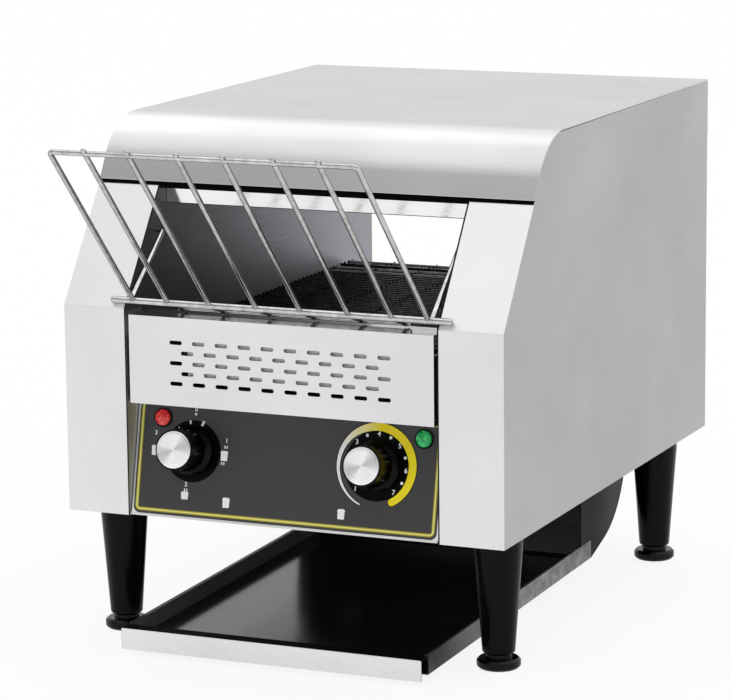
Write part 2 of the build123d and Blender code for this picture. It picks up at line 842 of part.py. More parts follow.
def guard_wires():
    """Wires that keep bread off the upper tubes."""
    z = upper_box_rim + guard_from_rim
    y = (upper_box_front + sheet, upper_box_rear - sheet)
    return [along(guard_radius, (i - (guard_count - 1) / 2) * guard_pitch, y, z) for i in range(guard_count)]


def mouth_crossbar():
    """Polished channel across the top of the mouth."""
    reach = wall_face - fit_gap
    low = upper_box_rim + crossbar_rise
    front = upper_box_front - crossbar_depth
    bar = block((-reach, reach), (front, upper_box_front), (low, low + crossbar_height))
    return bar - block((-reach - 1, reach + 1), (front + sheet, upper_box_front + 1), (low + sheet, low + crossbar_height - sheet))


def side_insulation():
    """Mineral board against each outer skin."""
    low = body_bottom + insulation_rise
    x = (half - sheet - insulation_depth, half - sheet)
    return both_sides(block(x, (insulation_front, insulation_rear), (low, low + insulation_height)))


def top_insulation():
    """Ceramic blanket on the upper heater box."""
    x = wall_face - blanket_inset
    y = (upper_box_front + 2 * blanket_inset, upper_box_rear - blanket_inset)
    return block((-x, x), y, (upper_box_top, upper_box_top + blanket_thickness))


# ---------------------------------------------------------------- chute and tray
def chute_path():
    """Inner face of the chute as (y, z): tongue, slope, bend, upright and flare."""
    angle = radians(chute_angle)
    tongue_y = tray_rear - tongue_overlap
    tongue_z = slope_z(tongue_y, tray_floor_top) + tongue_gap + sheet
    corner_z = tongue_z + (chute_rear - tongue_y) * tan(angle)
    turn = pi / 2 - angle
    reach = chute_radius * tan(turn / 2)
    bend_start = (chute_rear - reach * cos(angle), corner_z - reach * sin(angle))
    bend_end = (chute_rear, corner_z + reach)
    centre = (chute_rear - chute_radius, bend_end[1])
    top = (flare_rear, body_bottom + rear_panel_height - 2 * sheet)
    return (tongue_y, tongue_z), bend_start, bend_end, centre, top


def chute_lines(shift):
    """The chute's path moved outwards by a shift, as edges, with its two ends."""
    tongue, start, end, centre, top = chute_path()
    angle = radians(chute_angle)
    out = (shift * sin(angle), -shift * cos(angle))
    p0 = (tongue[0] + out[0], tongue[1] + out[1])
    p1 = (start[0] + out[0], start[1] + out[1])
    p2 = (end[0] + shift, end[1])
    p3 = (end[0] + shift, body_bottom)
    p4 = (top[0] + shift, top[1])
    arc = CenterArc(centre, chute_radius + shift, degrees(angle) - 90, 90 - degrees(angle))
    return [Line(p0, p1), arc, Line(p2, p3), Line(p3, p4)], p0, p4


def toast_chute():
    """Bent sheet behind the belt, with a plate down each side below the body."""
    inner, in0, in4 = chute_lines(0.0)
    outer, out0, out4 = chute_lines(sheet)
    profile = side_face(inner + outer + [Line(in0, out0), Line(in4, out4)])
    low_x = runner_half_width - sheet
    wide_x = wall_face - fit_gap
    low = widen(profile, (-low_x, low_x)) & block((-half, half), (0, body_depth), (0, body_bottom))
    high = widen(profile, (-wide_x, wide_x)) & block((-half, half), (0, body_depth), (body_bottom, lip_z))
    tongue_x = tray_half_width - tray_sheet - tongue_side_gap
    tip = (0, tray_rear + tongue_side_gap)
    tip_top = slope_z(tray_rear, runner_top) + sheet
    for cut in both_sides(block((tongue_x, half), tip, (0, tip_top))):
        low -= cut
    chute = low + high
    for plate in both_sides(chute_plate()):
        chute += plate
    return chute


def chute_plate():
    """Side plate: closed by the bent sheet behind and seated on the tray runner in front."""
    lines, tongue, _ = chute_lines(sheet)
    lowered = [Pos(0, -chute_plate_drop) * line for line in lines[:2]]
    start = (tongue[0], tongue[1] - chute_plate_drop)
    end = (chute_rear + sheet, chute_path()[2][1] - chute_plate_drop)
    region = side_face(
        lowered
        + [
            Line(end, (chute_rear + sheet, body_bottom)),
            Line((chute_rear + sheet, body_bottom), (tongue[0], body_bottom)),
            Line((tongue[0], body_bottom), start),
        ]
    )
    rear = tray_rear + 1
    front = rear - chute_plate_lap
    x = (runner_half_width - sheet, runner_half_width)
    plate = widen(region, x) & block((0, half), (rear, body_depth), (0, body_bottom))
    seat = runner_top + runner_seat
    corners = Polyline(
        (front, slope_z(front, seat)),
        (rear, slope_z(rear, seat)),
        (rear, body_bottom),
        (front, body_bottom),
        close=True,
    )
    return plate + widen(side_face(corners), x)


def tray_runner():
    """Right angle runner that the tray slides in."""
    low = runner_rise
    y = (tray_front + handle_depth + sheet, tray_rear + 1)
    web = block((runner_half_width - sheet, runner_half_width), y, (low, runner_top))
    ledge_x = (runner_half_width - sheet - runner_ledge, runner_half_width - sheet)
    return tilted(web + block(ledge_x, y, (low, low + sheet)))


def tray_pan():
    """Black tray that catches the toast, open at its back."""
    x = (-tray_half_width, tray_half_width)
    y = (tray_front + handle_depth, tray_rear)
    pan = block(x, y, (tray_floor_z, tray_floor_top))
    wall_x = (tray_half_width - tray_sheet, tray_half_width)
    for wall in both_sides(block(wall_x, y, (tray_floor_top, tray_floor_top + tray_wall))):
        pan += wall
    return tilted(pan)


def tray_handle():
    """Bright folded channel along the tray's front edge."""
    reach = runner_half_width
    low = tray_floor_z - handle_sheet - handle_drop
    y = (tray_front, tray_front + handle_depth)
    bar = block((-reach, reach), y, (low, low + handle_height))
    hollow_y = (tray_front + handle_sheet, tray_front + handle_depth)
    hollow = block((-reach - 1, reach + 1), hollow_y, (low - 1, low + handle_height - handle_sheet))
    seat = block((-reach, reach), (y[1] - handle_sheet, y[1]), (tray_floor_z, low + handle_height))
    return tilted(bar - hollow + seat)


# ---------------------------------------------------------------- wire rack
def rack_point(x, up):
    """Point of the rack's plane, a distance up from the cross rod."""
    angle = radians(rack_angle)
    return (x, rod_y - up * cos(angle), rod_z + up * sin(angle))


def wire_rack():
    """Hanging bread rack: bent frame, inner wires with feet, cross rods and two hook arms."""
    side = rack_half_width
    frame = [rack_point(-side, 0), rack_point(-side, rack_length)]
    frame += [rack_point(side, rack_length), rack_point(side, 0)]
    rack = wire_bar(frame, rack_wire, rack_corner)
    rack += across(rack_rod, (-rack_rod_half, rack_rod_half), rod_y, rod_z)
    shelf = (rod_y + shelf_reach, rod_z - shelf_drop)
    shelf_half = max(rack_wire_places) + shelf_beyond
    rack += across(rack_wire, (-shelf_half, shelf_half), shelf[0], shelf[1])
    for place in rack_wire_places:
        for x in (-place, place):
            tip = (x, shelf[0] + shelf_tip, shelf[1])
            points = [rack_point(x, rack_length + rack_wire_bump), rack_point(x, 0)]
            points += [(x, shelf[0], shelf[1]), tip]
            rack += wire_bar(points, rack_wire, 2 * rack_wire)
    arm_x = wall_face - arm_inset
    end_x = wall_outer + hook_beyond
    arm = wire_bar([(arm_x, rod_y, rod_z), (arm_x, hook_y, hook_z), (end_x, hook_y, hook_z)], rack_wire, 2)
    for piece in both_sides(arm):
        rack += piece
    return rack


# ---------------------------------------------------------------- small pieces
def cord_gland():
    """Strain-relief gland in the rear rim of the left side panel, with its inner nut."""
    z = body_bottom + gland_rise
    rear = body_depth + gland_length + sheet
    body = along(gland_radius, gland_x, (body_depth - 6, rear), z)
    body += along(gland_nut_radius, gland_x, (body_depth, body_depth + 5), z)
    body = chamfer(body.edges().filter_by(GeomType.CIRCLE).sort_by(Axis.Y)[-1:], 3)
    body += along(gland_nut_radius, gland_x, (body_depth - 5, body_depth - sheet), z)
    return body - along(gland_bore, gland_x, (body_depth - 7, rear + 1), z)


def terminal_block():
    x = terminal_inset - base_half_width
    y = terminal_y
    length, width, height = terminal_size
    low = body_bottom + sheet
    return block((x - length / 2, x + length / 2), (y - width / 2, y + width / 2), (low, low + height))


def thermal_cutout():
    """Resettable cut-out on the outside of the left inner wall."""
    x = (-wall_outer - cutout_height, -wall_outer)
    return across(cutout_radius, x, cutout_place[0], body_bottom + cutout_place[1])


def casing_screws():
    """Pan-head screws in the rear flange of the hood and in the rear panel."""
    screws = []
    hood_z = panel_top_z + sheet - hood_rear_flange / 2
    low_z = body_bottom + rear_panel_height / 2
    for x in (-half + pillar_width / 2, -half / 3, half / 3, half - pillar_width / 2):
        screws.append((x, hood_z))
    for x in (-wall_outer + 12, wall_outer - 12):
        screws.append((x, low_z))
    start = body_depth + sheet
    heads = [along(screw_radius, x, (start, start + screw_head), z) for x, z in screws]
    return [chamfer(head.faces().sort_by(Axis.Y)[-1].edges(), screw_head * 0.4) for head in heads]


# ---------------------------------------------------------------- build
os.makedirs("parts", exist_ok=True)
upper_places, lower_places = tube_places()

save("side_panel_right", side_panel())
save("side_panel_left", left_side_panel())
wall = inner_wall()
save("inner_wall_right", wall)
save("inner_wall_left", mirror(wall, about=Plane.YZ))
save("hood", hood())
save("vent_panel", vent_panel())
save("vent_baffle", vent_baffle())
save("base_plate", base_plate())
save("belt_deck", belt_deck())
save("rear_panel", rear_panel())
save("casing_screws", casing_screws())
save("cord_gland", cord_gland())
save("legs", [leg(x, y) for x, y in leg_places().values()])
for place, (x, y) in leg_places().items():
    save("foot_" + place, foot(x, y))

save("control_panel", control_panel())
save("panel_overlay", panel_overlay())
save("heat_switch", control_body(heat_knob_x, switch_width, switch_depth))
save("speed_control", control_body(speed_knob_x, control_width, control_depth))
for name, x in (("heat", heat_knob_x), ("speed", speed_knob_x)):
    save(name + "_knob", knob(x))
    save(name + "_knob_cap", knob_cap(x))
    save(name + "_spindle", spindle(x))
for name, x in (("power", power_lamp_x), ("heating", heat_lamp_x)):
    lamp_body, lens = lamp(x)
    save(name + "_lamp_body", lamp_body)
    save(name + "_lamp_lens", lens)
save("terminal_block", terminal_block())
save("thermal_cutout", thermal_cutout())

save("belt_top_run", belt_run(belt_top_z))
save("belt_return_run", belt_run(belt_low_z))
save("belt_front_wrap", belt_wrap(idler_y, True))
save("belt_rear_wrap", belt_wrap(drive_y, False))
save("idler_shaft", idler_shaft())
save("drive_shaft", drive_shaft())
save("idler_sprockets", sprockets(idler_y))
save("drive_sprockets", sprockets(drive_y))
save("idler_bearings", bearings(idler_y))
save("drive_bearings", bearings(drive_y))
save("gear_motor", motor())
save("motor_bracket", motor_bracket())

save("upper_tubes", heating_tubes(upper_places))
save("lower_tubes", heating_tubes(lower_places))
save("tube_holders", tube_holders(upper_places + lower_places))
save("upper_reflector", upper_reflector())
save("lower_reflector", lower_reflector())
save("guard_wires", guard_wires())
save("mouth_crossbar", mouth_crossbar())
save("side_insulation", side_insulation())
save("top_insulation", top_insulation())

save("toast_chute", toast_chute())
save("tray_runners", both_sides(tray_runner()))
save("tray_pan", tray_pan())
save("tray_handle", tray_handle())
save("wire_rack", wire_rack())
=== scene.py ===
import json
import math
import bmesh
import bpy
from mathutils import Matrix, Vector

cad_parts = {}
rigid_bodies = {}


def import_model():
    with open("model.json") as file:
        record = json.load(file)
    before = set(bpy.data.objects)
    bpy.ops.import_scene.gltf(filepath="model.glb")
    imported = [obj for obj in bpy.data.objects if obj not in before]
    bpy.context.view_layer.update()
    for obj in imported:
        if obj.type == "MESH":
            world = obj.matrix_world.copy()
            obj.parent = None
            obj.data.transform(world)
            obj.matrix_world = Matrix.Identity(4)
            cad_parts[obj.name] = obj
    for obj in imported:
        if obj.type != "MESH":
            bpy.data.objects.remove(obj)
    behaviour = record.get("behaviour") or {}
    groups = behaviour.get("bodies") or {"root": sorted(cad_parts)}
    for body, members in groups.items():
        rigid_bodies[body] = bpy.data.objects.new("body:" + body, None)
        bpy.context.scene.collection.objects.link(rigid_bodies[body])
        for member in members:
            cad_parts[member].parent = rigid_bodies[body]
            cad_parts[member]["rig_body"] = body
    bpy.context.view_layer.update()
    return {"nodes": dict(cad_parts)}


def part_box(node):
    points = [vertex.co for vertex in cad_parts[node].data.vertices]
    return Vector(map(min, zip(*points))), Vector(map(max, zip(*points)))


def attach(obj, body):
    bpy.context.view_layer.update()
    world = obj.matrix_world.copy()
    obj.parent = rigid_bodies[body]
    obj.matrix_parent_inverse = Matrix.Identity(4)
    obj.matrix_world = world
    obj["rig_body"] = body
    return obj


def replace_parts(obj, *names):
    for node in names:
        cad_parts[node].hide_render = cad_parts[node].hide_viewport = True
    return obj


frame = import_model()

# ---------------------------------------------------------------- measures
# Millimetres, in the toaster's own measure: X from the middle, Y back from the front
# pillars, Z up from the worktop. at() turns them into the frame's metres.
MM = 0.001
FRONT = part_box("side_panel_right")[0].y

PANEL_TILT = math.radians(12.0)
PANEL_FOOT = (1.0, 83.5)      # back and up
OVERLAY = 0.4                 # thickness of the printed film on the control panel
HEAT_KNOB = (-64.5, 41.2)     # sideways from the middle, and up the tilted panel
SPEED_KNOB = (58.9, 41.2)
POWER_LAMP = (-84.2, 59.7)
HEAT_LAMP = (88.5, 59.7)
CAP_BASE = 23.0               # end of the knob's grip, over the panel
LENS_BASE = 1.4               # face of the lamp's bezel, over the panel

FOLD = 1.1                    # outside radius of a fold in the casing sheet
EASED = 0.22                  # width of the eased edge that a shear leaves
FOLD_ANGLE = math.radians(28) # flatter edges belong to a round and stay as they are
BROAD = 2.5                   # a narrower face is a cut edge of the sheet
MERGE = 0.002                 # corners closer than this are one

SHOULDER = 210.5              # height at which the pillars start to slope back
LIP = (51.0, 281.5)           # foot of the hood's lip, back and up
SLOPE = math.atan2(71.0, 51.0)
WALL = 103.0                  # outer face of the toasting chamber's side walls
HALF = 144.0                  # half the casing's width

BELT_PITCH = 6.25             # the sprockets take every second rod
BELT_START = 43.0
BELT_PITCHES = 44
BELT_RUNS = {"top": 189.92, "return": 158.08}
BELT_WHOLE = {"top": (2.0, BELT_PITCHES - 4.0), "return": (4.0, BELT_PITCHES - 2.0)}  # has its odd rods too
BELT_HALF = 95.0
BELT_ROD = 1.1                # radius
BELT_LINK = 0.7               # radius
WINDOW_LIT_ROD = BELT_PITCHES - 5 # the rods on both sides of it are painted bright as light from the rear opening
WINDOW_LIT_END = (308.0, 311.0)   # behind these only the last rod follows
LINK_STEP = 1.6               # sideways step of a link from one rod to the next
LINK_COLUMNS = 7

RACK_WIRE = 1.6               # radius
RACK_ROD = 2.1                # radius
RACK_ANGLE = math.radians(46.0)
RACK_LENGTH = 143.5
RACK_HALF = 96.5
RACK_BUMP = 2.6               # the wires' tips stand this far over the top bar
RACK_REST = (4.5, 0.3)        # cross rod: up the slope from the shoulder, and clear of it
RACK_BEYOND = 9.0             # the cross rod's reach over the chamber's walls
FRAME_BEND = 2.6
ARM_BEND = 2.0
SHELF_BEYOND = 2.5            # reach of the shelf's rod past the outer wires
WELD = 2.15                   # radius of a bead
RACK_PLACES = (-73.5, -45.5, -14.5, 14.5, 45.5, 73.5)
SHELF = (20.5, 6.5, 4.0)      # back from the cross rod, down from it, and the wires' tips
HOOK = (45.5, 252.5)          # back and up
ARM_X = 98.4
HOOK_END = 107.0


def at(x, y, z):
    """Point of the frame from the toaster's own millimetres."""
    return Vector((x * MM, FRONT + y * MM, z * MM))


def panel_matrix():
    """Turns (x, rise, height over the panel) in millimetres into the frame."""
    rise = Vector((0, math.sin(PANEL_TILT), math.cos(PANEL_TILT)))
    out = Vector((0, -math.cos(PANEL_TILT), math.sin(PANEL_TILT)))
    turn = Matrix((Vector((1, 0, 0)), rise, out)).transposed() * MM
    return Matrix.Translation(at(0, *PANEL_FOOT)) @ turn.to_4x4()


# ---------------------------------------------------------------- small helpers
def add(tree, kind, inputs=None, **settings):
    """Adds one node with its settings; an input is a value, another node's output or a list of those."""
    node = tree.nodes.new(kind)
    for key, value in settings.items():
        setattr(node, key, value)
    for key, value in (inputs or {}).items():
        many = value if isinstance(value, list) and isinstance(value[0], bpy.types.NodeSocket) else [value]
        for one in many:
            if isinstance(one, bpy.types.NodeSocket):
                tree.links.new(one, node.inputs[key])
            else:
                node.inputs[key].default_value = one
    return node


def linear(code):
    """Linear colour from an sRGB hex value."""
    parts = [int(code[i:i + 2], 16) / 255 for i in (1, 3, 5)]
    return [p / 12.92 if p <= 0.04045 else ((p + 0.055) / 1.055) ** 2.4 for p in parts] + [1.0]


def piece(name, mesh, body, *materials, smooth=True):
    """Object from a mesh that is already in place, riding on a body."""
    for face in mesh.polygons:
        face.use_smooth = smooth
    thing = bpy.data.objects.new(name, mesh)
    bpy.context.scene.collection.objects.link(thing)
    for material in materials:
        mesh.materials.append(material)
    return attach(thing, body)


def mesh_from(work, name, place=None):
    """Mesh from a bmesh, moved into place, with its faces turned outwards."""
    if place:
        bmesh.ops.transform(work, matrix=place, verts=work.verts)
    bmesh.ops.recalc_face_normals(work, faces=work.faces)
    mesh = bpy.data.meshes.new(name)
    work.to_mesh(mesh)
    work.free()
    return mesh


def modifier(thing, kind, **settings):
    """Adds one modifier with its settings."""
    made = thing.modifiers.new(kind.lower(), kind)
    for key, value in settings.items():
        setattr(made, key, value)
    return made


def turned(work, profile, steps, polar=None):
    """Adds a turned shape about Z to a bmesh, from its (radius, height) outline.

    polar is a UV layer that gets the turn, 0 to 1, and the share of the widest radius.
    """
    angles = [2 * math.pi * i / steps for i in range(steps)]
    widest = max(radius for radius, height in profile)
    rings = []
    for radius, height in profile:
        if radius:
            corners = [(radius * math.cos(a), radius * math.sin(a), height) for a in angles]
            rings.append([work.verts.new(corner) for corner in corners])
        else:
            rings.append([work.verts.new((0, 0, height))] * steps)
    for k, (low, high) in enumerate(zip(rings, rings[1:])):
        for i in range(steps):
            j = (i + 1) % steps
            around = [(low[i], i, k), (low[j], i + 1, k), (high[j], i + 1, k + 1), (high[i], i, k + 1)]
            corners = [c for n, c in enumerate(around) if c[0] not in [other[0] for other in around[:n]]]
            face = work.faces.new([c[0] for c in corners])
            for loop, (_, turn, ring) in zip(face.loops, corners if polar else []):
                loop[polar].uv = (turn / steps, profile[ring][0] / widest)


# ---------------------------------------------------------------- materials
def shader(name, colour, roughness, metallic=0.0, **sockets):
    """New material with one Principled shader; gives its tree and that shader."""
    material = bpy.data.materials.new(name)
    material.use_nodes = True
    tree = material.node_tree
    main = tree.nodes["Principled BSDF"]
    main.inputs["Base Color"].default_value = linear(colour)
    main.inputs["Roughness"].default_value = roughness
    main.inputs["Metallic"].default_value = metallic
    for key, value in sockets.items():
        main.inputs[key.replace("_", " ")].default_value = value
    return material, tree, main


def pattern(tree, scale, detail=3.0, rough=0.55):
    """Noise on the piece's own coordinates, with a scale for each axis in 1/metre."""
    place = add(tree, "ShaderNodeTexCoord")
    stretch = add(tree, "ShaderNodeMapping", {"Vector": place.outputs["Object"], "Scale": scale})
    noise = {"Vector": stretch.outputs["Vector"], "Scale": 1.0, "Detail": detail, "Roughness": rough}
    return add(tree, "ShaderNodeTexNoise", noise).outputs["Fac"]


def spread(tree, value, low, high, first=0.3, last=0.7):
    """Maps a value to a range; the ends it starts from suit a noise, which stays near its middle."""
    limits = {"Value": value, "From Min": first, "From Max": last, "To Min": low, "To Max": high}
    return add(tree, "ShaderNodeMapRange", limits).outputs["Result"]


def coordinate(tree, axis):
    """One axis of the piece's own coordinates."""
    place = add(tree, "ShaderNodeTexCoord").outputs["Object"]
    return add(tree, "ShaderNodeSeparateXYZ", {"Vector": place}).outputs[axis]


def tinted(tree, main, value, dark, light):
    """Base colour between two hex values, by a 0 to 1 value; either may be another colour's output."""
    mix = add(tree, "ShaderNodeMix", data_type="RGBA")
    tree.links.new(value, mix.inputs["Factor"])
    for socket, colour in (("A", dark), ("B", light)):
        if isinstance(colour, bpy.types.NodeSocket):
            tree.links.new(colour, mix.inputs[socket])
        else:
            mix.inputs[socket].default_value = linear(colour)
    tree.links.new(mix.outputs["Result"], main.inputs["Base Color"])
    return mix.outputs["Result"]


def bumped(tree, main, value, depth):
    """Relief from a height value, with its full depth in millimetres."""
    made = add(tree, "ShaderNodeBump", {"Height": value, "Strength": 1.0, "Distance": depth * MM})
    tree.links.new(made.outputs["Normal"], main.inputs["Normal"])


def brushed(name, dark, light, roughness, along, scratch=0.5, depth=0.004):
    """Steel sheet with a brushed grain: scratches along one axis catch the light as fine streaks.

    scratch is the streaks' spacing in mm, a little coarser than a belt grinder's so that it shows.
    """
    material, tree, main = shader(name, light, roughness, metallic=1.0)
    across, run = 1 / (scratch * MM), 1 / (45 * scratch * MM)
    grain = pattern(tree, [run if i == along else across for i in range(3)], 4.0)
    haze = pattern(tree, (9.0, 9.0, 9.0), 2.0)
    tinted(tree, main, spread(tree, haze, 0.0, 1.0), dark, light)
    tree.links.new(spread(tree, grain, roughness - 0.05, roughness + 0.07), main.inputs["Roughness"])
    bumped(tree, main, grain, depth)
    return material


def moulded(name, colour, roughness, grit=0.35, depth=0.006, **sockets):
    """Moulded plastic: a fine spark-eroded grain breaks up its highlights."""
    material, tree, main = shader(name, colour, roughness, **sockets)
    grain = pattern(tree, [1 / (grit * MM)] * 3, 2.0)
    tree.links.new(spread(tree, grain, roughness - 0.04, roughness + 0.05), main.inputs["Roughness"])
    bumped(tree, main, grain, depth)
    return material


def drawn_wire(name, dark, light, roughness, spot=5.0, depth=0.001, rim="#ffffff"):
    """Drawn and plated wire: bright, with small dull spots; rim tints its reflection at a glance."""
    material, tree, main = shader(name, light, roughness, metallic=1.0, Specular_Tint=linear(rim))
    spots = pattern(tree, [1 / (spot * MM)] * 3, 3.0)
    tinted(tree, main, spread(tree, spots, 0.0, 1.0), dark, light)
    tree.links.new(spread(tree, spots, roughness + 0.06, roughness - 0.03), main.inputs["Roughness"])
    bumped(tree, main, pattern(tree, [1 / (0.6 * MM)] * 3, 2.0), depth)
    return material


def belt_wire(name, sooted, worn, clean, roughness):
    """Belt wire: blackened in the heat and darkened further as painted shade, with the last rod and two in
    front of it painted bright and less metallic as light from the rear opening.
    """
    material, tree, main = shader(name, worn, roughness, metallic=1.0)
    spots = pattern(tree, [1 / (7.0 * MM)] * 3, 3.0)
    stain_and_shade = tinted(tree, main, spread(tree, spots, 0.0, 1.0), sooted, worn)
    # Painted light: rods near the back are tinted towards the bright colour and made less metallic, for the
    # light from the rear opening.
    back = coordinate(tree, "Y")
    lit_rod_y = BELT_START + WINDOW_LIT_ROD * BELT_PITCH
    aside = add(tree, "ShaderNodeMath", {0: back, 1: at(0, lit_rod_y, 0).y}, operation="SUBTRACT").outputs[0]
    aside = add(tree, "ShaderNodeMath", {0: aside}, operation="ABSOLUTE").outputs[0]
    aside = add(tree, "ShaderNodeMath", {0: aside, 1: BELT_PITCH * MM}, operation="SUBTRACT").outputs[0]
    aside = add(tree, "ShaderNodeMath", {0: aside}, operation="ABSOLUTE").outputs[0]
    two = spread(tree, aside, 1.0, 0.0, 1.3 * MM, 1.9 * MM)
    last = spread(tree, back, 0.0, 1.0, *(at(0, y, 0).y for y in WINDOW_LIT_END))
    behind = add(tree, "ShaderNodeMath", {0: two, 1: last}, operation="MAXIMUM").outputs[0]
    tinted(tree, main, behind, stain_and_shade, clean)
    tree.links.new(spread(tree, behind, 1.0, 0.3, 0.0, 1.0), main.inputs["Metallic"])
    tree.links.new(spread(tree, spots, roughness + 0.08, roughness - 0.06), main.inputs["Roughness"])
    return material


def spangled(name, dark, light, front_dark, roughness):
    """Hot-dip zinc: dull crystals the size of a fingertip, darker towards the front."""
    material, tree, main = shader(name, light, roughness, metallic=1.0)
    flakes = pattern(tree, [1 / (11.0 * MM)] * 3, 2.5, 0.7)
    crystals = tinted(tree, main, spread(tree, flakes, 0.0, 1.0, 0.38, 0.62), dark, light)
    behind = spread(tree, coordinate(tree, "Y"), 0.0, 1.0, at(0, 0, 0).y, at(0, 150, 0).y)
    tinted(tree, main, behind, front_dark, crystals)
    tree.links.new(spread(tree, flakes, roughness - 0.06, roughness + 0.1), main.inputs["Roughness"])
    return material


def enamelled(name, dark, light, roughness, ripple=2.5, depth=0.01, gloss=0.5):
    """Sprayed stove enamel: level and half glossy, with a faint orange-peel ripple."""
    material, tree, main = shader(name, light, roughness, Specular_IOR_Level=gloss)
    tinted(tree, main, spread(tree, pattern(tree, (14.0, 14.0, 14.0)), 0.0, 1.0), dark, light)
    bumped(tree, main, pattern(tree, [1 / (ripple * MM)] * 3, 2.0), depth)
    return material


def heat_stained(name, clean, painted_light_rear, painted_shade_front, roughness):
    """Stainless chamber walls: painted shade darkens them near the mouth and painted light brightens them
    towards the back; clean in front below the mouth.
    """
    material, tree, main = shader(name, painted_light_rear, roughness, metallic=1.0)
    back = spread(tree, coordinate(tree, "Y"), 0.0, 1.0, at(0, 20, 0).y, at(0, 330, 0).y)
    above = spread(tree, coordinate(tree, "Z"), 0.0, 1.0, (SHOULDER - 6) * MM, (SHOULDER - 2) * MM)
    behind = spread(tree, coordinate(tree, "Y"), 0.0, 1.0, at(0, 16, 0).y, at(0, 22, 0).y)
    inside = add(tree, "ShaderNodeMath", {0: above, 1: behind}, operation="MAXIMUM").outputs[0]
    # Painted shade near the mouth, painted light towards the back.
    stain_and_shade = tinted(tree, main, back, painted_shade_front, painted_light_rear)
    tinted(tree, main, inside, clean, stain_and_shade)
    grain = pattern(tree, (1 / (0.6 * MM), 30.0, 1 / (0.6 * MM)), 3.0)
    tree.links.new(spread(tree, grain, roughness - 0.04, roughness + 0.08), main.inputs["Roughness"])
    bumped(tree, main, grain, 0.004)
    return material


def spun(name, shade_grey, white):
    """Diamond-turned aluminium: rings round the middle spread the light, and two cone-shaped glints are
    painted into its colour as white wedges between grey ones.
    """
    material, tree, main = shader(name, white, 0.25, metallic=0.72, Anisotropic=0.8)
    way = add(tree, "ShaderNodeTangent", direction_type="UV_MAP", uv_map="polar")
    tree.links.new(way.outputs["Tangent"], main.inputs["Tangent"])
    place = add(tree, "ShaderNodeUVMap", uv_map="polar").outputs["UV"]
    turn = add(tree, "ShaderNodeSeparateXYZ", {"Vector": place}).outputs["X"]
    double = {0: turn, 1: 4 * math.pi, 2: -0.9}
    twice = add(tree, "ShaderNodeMath", double, operation="MULTIPLY_ADD").outputs[0]
    painted_glint = add(tree, "ShaderNodeMath", {0: twice}, operation="COSINE").outputs[0]
    # Painted highlight: grey turns to white in two opposite wedges.
    tinted(tree, main, spread(tree, painted_glint, 0.0, 1.0, 1.0, 0.1), shade_grey, white)
    ring = add(tree, "ShaderNodeMapping", {"Vector": place, "Scale": (0.0, 26.0, 0.0)}).outputs["Vector"]
    cut = add(tree, "ShaderNodeTexNoise", {"Vector": ring, "Scale": 1.0, "Detail": 2.0}).outputs["Fac"]
    tree.links.new(spread(tree, cut, 0.24, 0.29), main.inputs["Roughness"])
    return material


def lens_plastic(name, pale, deep):
    """Tinted polycarbonate: deep above, with painted light that pales it below and in small spots."""
    glow = {"Emission_Color": linear(deep), "Emission_Strength": 0.3}
    material, tree, main = shader(name, deep, 0.14, IOR=1.5, **glow)
    height = (PANEL_FOOT[1] + POWER_LAMP[1] * math.cos(PANEL_TILT)) * MM
    # Painted light: paler towards the lower half, and in noise spots.
    below = spread(tree, coordinate(tree, "Z"), 0.0, 0.7, height + 2.5 * MM, height - 3.0 * MM)
    spots = spread(tree, pattern(tree, [1 / (1.9 * MM)] * 3, 1.0), -0.5, 0.75, 0.35, 0.65)
    both = add(tree, "ShaderNodeMath", {0: below, 1: spots}, operation="ADD", use_clamp=True).outputs[0]
    tinted(tree, main, both, deep, pale)
    return material


def fading_ink(name, first, last):
    """Screen-printed ink that runs from one colour into another along the scale."""
    material, tree, main = shader(name, first, 0.42, Specular_IOR_Level=0.2)
    way = add(tree, "ShaderNodeAttribute", attribute_name="along").outputs["Fac"]
    tinted(tree, main, spread(tree, way, 0.0, 1.0, 0.3, 0.52), first, last)
    return material


def clear_quartz(name):
    """Fused quartz tube: nearly colourless, with the faint milkiness of drawn glass."""
    material, tree, main = shader(name, "#f4f4f2", 0.08, IOR=1.46, Transmission_Weight=1.0)
    milk = pattern(tree, (400.0, 60.0, 60.0), 2.0)
    tree.links.new(spread(tree, milk, 0.05, 0.16), main.inputs["Roughness"])
    return material


# The casing sheets are one stainless steel; their base colours are set lighter or darker per sheet as painted
# light and shade: the side skin darkest, the hood between, the front, pillars and handle lighter, the pillar
# slopes nearly white.
steel_side_painted_shade = brushed("brushed stainless side sheet", "#a9aaab", "#b5b6b7", 0.33, along=1)
steel_pillar_painted_light = brushed("brushed stainless pillar", "#dededf", "#e9e9ea", 0.25, along=2)
steel_slope_painted_light = brushed("satin stainless pillar slope", "#f8f8f8", "#fdfdfd", 0.4, along=2)
steel_hood = brushed("brushed stainless hood sheet", "#c5c5c6", "#d1d1d2", 0.2, along=0)
steel_front = brushed("satin stainless front sheet", "#dededf", "#e8e8e9", 0.3, along=0)
steel_ledge = brushed("polished ledge steel", "#c9c8c7", "#dddcdb", 0.13, along=0, scratch=1.2, depth=0.002)
steel_rear = brushed("brushed stainless rear sheet", "#b4b5b6", "#c0c1c2", 0.34, along=2)
steel_painted_shade_edge = brushed("dark turned-in steel edge, painted shade", "#1d1d1e", "#29292a", 0.5, along=2)
steel_bright = brushed("bright rolled steel", "#d8d8d8", "#e6e6e6", 0.18, along=0, scratch=0.8, depth=0.002)
steel_handle = brushed("brushed handle steel", "#ececec", "#fafafa", 0.26, along=0, scratch=0.7)
steel_mirror = brushed("buffed crossbar steel", "#ececec", "#f6f6f6", 0.11, along=0, scratch=2.0, depth=0.001)
steel_wall = heat_stained("chamber wall with painted shade towards the mouth", "#dcdcdc", "#a6a5ac", "#5a595d", 0.5)
